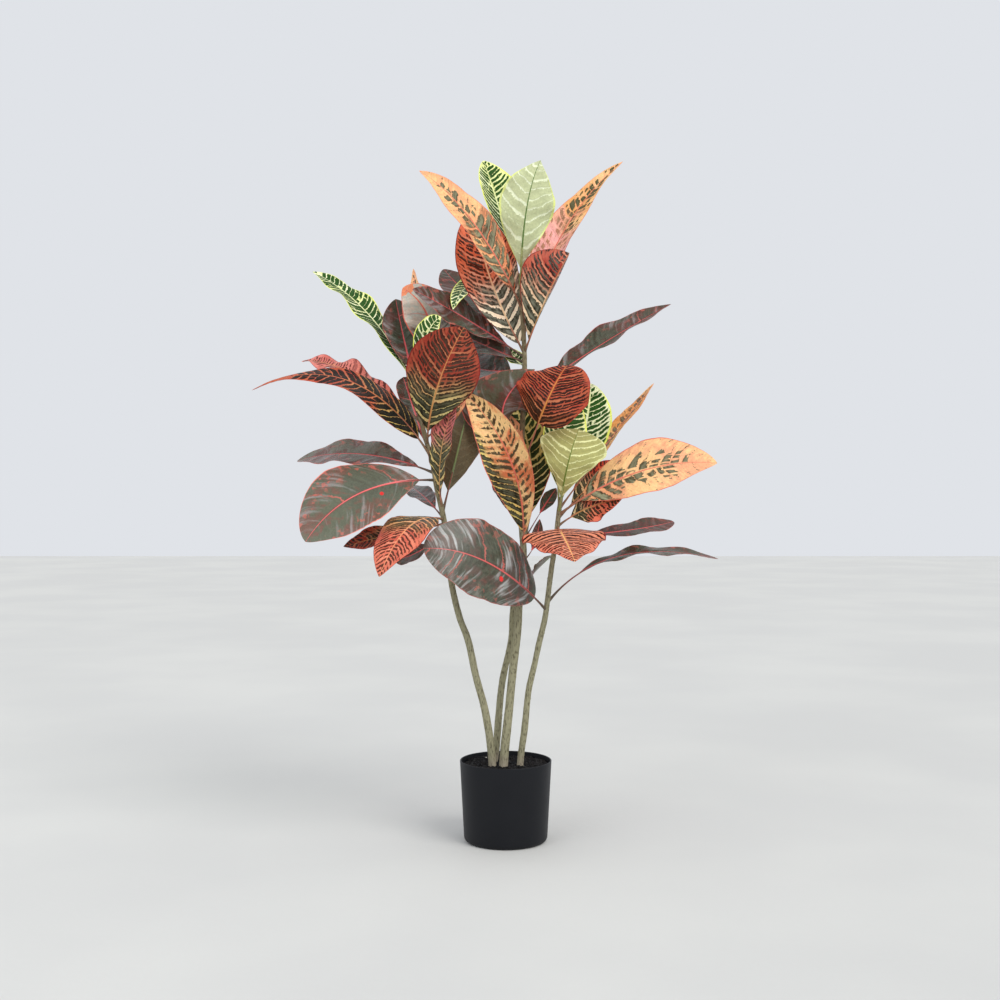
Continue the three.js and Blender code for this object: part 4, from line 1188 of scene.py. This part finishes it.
class CROTON_OT_pot(bpy.types.Operator):
    """Turn the plastic pot"""

    bl_idname = "croton.pot"
    bl_label = "Pot"

    def execute(self, context):
        pot = context.scene.croton.pot
        mesh = lathe_mesh("pot_shell", pot_profile(pot), pot.sides)
        mesh.materials.append(plastic_material(pot))
        settle(add_object("pot_shell", mesh), "pot")
        return {"FINISHED"}


class CROTON_OT_soil(bpy.types.Operator):
    """Fill the pot with crumbly soil"""

    bl_idname = "croton.soil"
    bl_label = "Soil"

    def execute(self, context):
        soil, pot = context.scene.croton.soil, context.scene.croton.pot
        edge = soil.top - SOIL_EDGE_DROP
        wall_share = (edge - pot.shoulder) / (pot.height - pot.shoulder)
        inner = pot.base_diameter / 2 - pot.wall
        inner_rim = pot.rim_diameter / 2 - pot.wall
        edge_radius = inner + (inner_rim - inner) * wall_share - SOIL_EDGE_GAP
        bottom = pot.floor + SOIL_FLOOR_GAP
        profile = [(0, bottom), (inner - SOIL_CORNER, bottom),
                   (inner - SOIL_WALL_GAP, pot.shoulder), (edge_radius, edge)]
        profile += [(edge_radius * (1 - i / SOIL_RINGS), soil.top) for i in range(1, SOIL_RINGS)]
        mesh = lathe_mesh("soil_body", profile + [(0, soil.top)], SOIL_SIDES)
        values = dict(
            top=soil.top, crumb=soil.crumb, crumbs=float(soil.crumbs), seed=soil.seed,
            grain_place=Vector(GRAIN_PLACE), grain_radius=GRAIN_RADIUS, soil=soil_material(soil),
            grain=grain_material(soil),
        )
        grow("soil_fill", mesh, soil_tree(), values, "soil")
        return {"FINISHED"}


class CROTON_OT_stems(bpy.types.Operator):
    """Grow the four woody stems"""

    bl_idname = "croton.stems"
    bl_label = "Stems"

    def execute(self, context):
        settings = context.scene.croton.stems
        tree = stem_tree()
        bark = bark_material(settings)
        for name, stem in STEMS.items():
            points = [stem_point(stem, i / STEM_STEPS) * MM for i in range(STEM_STEPS + 1)]
            mesh = drawn_mesh(f"stem {name} line", points, [(i, i + 1) for i in range(STEM_STEPS)], [])
            values = dict(
                foot_radius=stem["foot"] / 2 * MM, top_radius=stem["top"] / 2 * MM,
                swell=settings.swell, relief=settings.relief, scar=settings.scar,
                scars=settings.scars, sides=settings.sides, rings=settings.rings, bark=bark,
            )
            grow(f"stem_{name}_bark", mesh, tree, values, f"stem_{name}")
        return {"FINISHED"}


class CROTON_OT_leaves(bpy.types.Operator):
    """Grow every leaf on its stalk"""

    bl_idname = "croton.leaves"
    bl_label = "Leaves"

    def execute(self, context):
        settings = context.scene.croton.leaves
        tree, group = leaf_tree(), leaf_paint_tree()
        stalks = {kind: stalk_material(kind) for kind in STALK_COLOURS}
        for number, row in enumerate(LEAVES):
            values = leaf_values(row, number, settings)
            values["blade_paint"] = blade_material(row, number, values["length"], group)
            values["stalk_paint"] = stalks[row.kind]
            mesh = bpy.data.meshes.new(f"{row.name} seed")
            grow(f"{row.name}_leaf", mesh, tree, values, row.name)
        return {"FINISHED"}


class CROTON_OT_stage(bpy.types.Operator):
    """Set the pale floor, the soft lights and the camera"""

    bl_idname = "croton.stage"
    bl_label = "Stage"

    def execute(self, context):
        scene = context.scene
        corners = [(-FLOOR, -FLOOR, 0), (FLOOR, -FLOOR, 0), (FLOOR, FLOOR, 0), (-FLOOR, FLOOR, 0)]
        mesh = drawn_mesh("floor", corners, [], [(0, 1, 2, 3)])
        mesh.materials.append(floor_material())
        floor = add_object("floor", mesh)

        scene.world = bpy.data.worlds.new("pale room")
        scene.world.use_nodes = True
        background = scene.world.node_tree.nodes["Background"]
        background.inputs["Color"].default_value = srgb(*ROOM_COLOUR)
        background.inputs["Strength"].default_value = ROOM_LIGHT
        for name, (kind, place, settings) in LAMPS.items():
            light = bpy.data.lights.new(name, kind)
            for label, value in settings.items():
                setattr(light, label, value)
            toward = Vector(LAMP_TARGET) - Vector(place)
            lamp = add_object(name, light, place)
            lamp.rotation_euler = toward.to_track_quat("-Z", "Y").to_euler()

        camera = bpy.data.cameras.new("camera")
        camera.lens = CAMERA_LENS
        camera.clip_end = CAMERA_REACH
        scene.camera = add_object("camera", camera, CAMERA_PLACE)
        scene.camera.rotation_euler = (math.pi / 2, 0, 0)
        scene.view_settings.view_transform = "Standard"
        return {"FINISHED"}


class CROTON_PT_panel(bpy.types.Panel):
    """The steps that make the plant"""

    bl_idname = "CROTON_PT_panel"
    bl_label = "Potted croton"
    bl_space_type = "VIEW_3D"
    bl_region_type = "UI"
    bl_category = "Croton"

    def draw(self, context):
        settings = context.scene.croton
        for group in (settings.pot, settings.soil, settings.stems, settings.leaves):
            box = self.layout.box()
            for name in group.bl_rna.properties.keys():
                if name not in ("rna_type", "name"):
                    box.prop(group, name)
        for operator in STEPS:
            self.layout.operator(operator.bl_idname)


STEPS = (CROTON_OT_pot, CROTON_OT_soil, CROTON_OT_stems, CROTON_OT_leaves, CROTON_OT_stage)
CLASSES = (CrotonPotSettings, CrotonSoilSettings, CrotonStemSettings, CrotonLeafSettings,
           CrotonSettings, *STEPS, CROTON_PT_panel)


def register():
    for item in CLASSES:
        bpy.utils.register_class(item)
    bpy.types.Scene.croton = PointerProperty(type=CrotonSettings)


def unregister():
    del bpy.types.Scene.croton
    for item in reversed(CLASSES):
        bpy.utils.unregister_class(item)


def main():
    register()
    bpy.ops.croton.pot()
    bpy.ops.croton.soil()
    bpy.ops.croton.stems()
    bpy.ops.croton.leaves()
    bpy.ops.croton.stage()


if __name__ == "__main__":
    main()
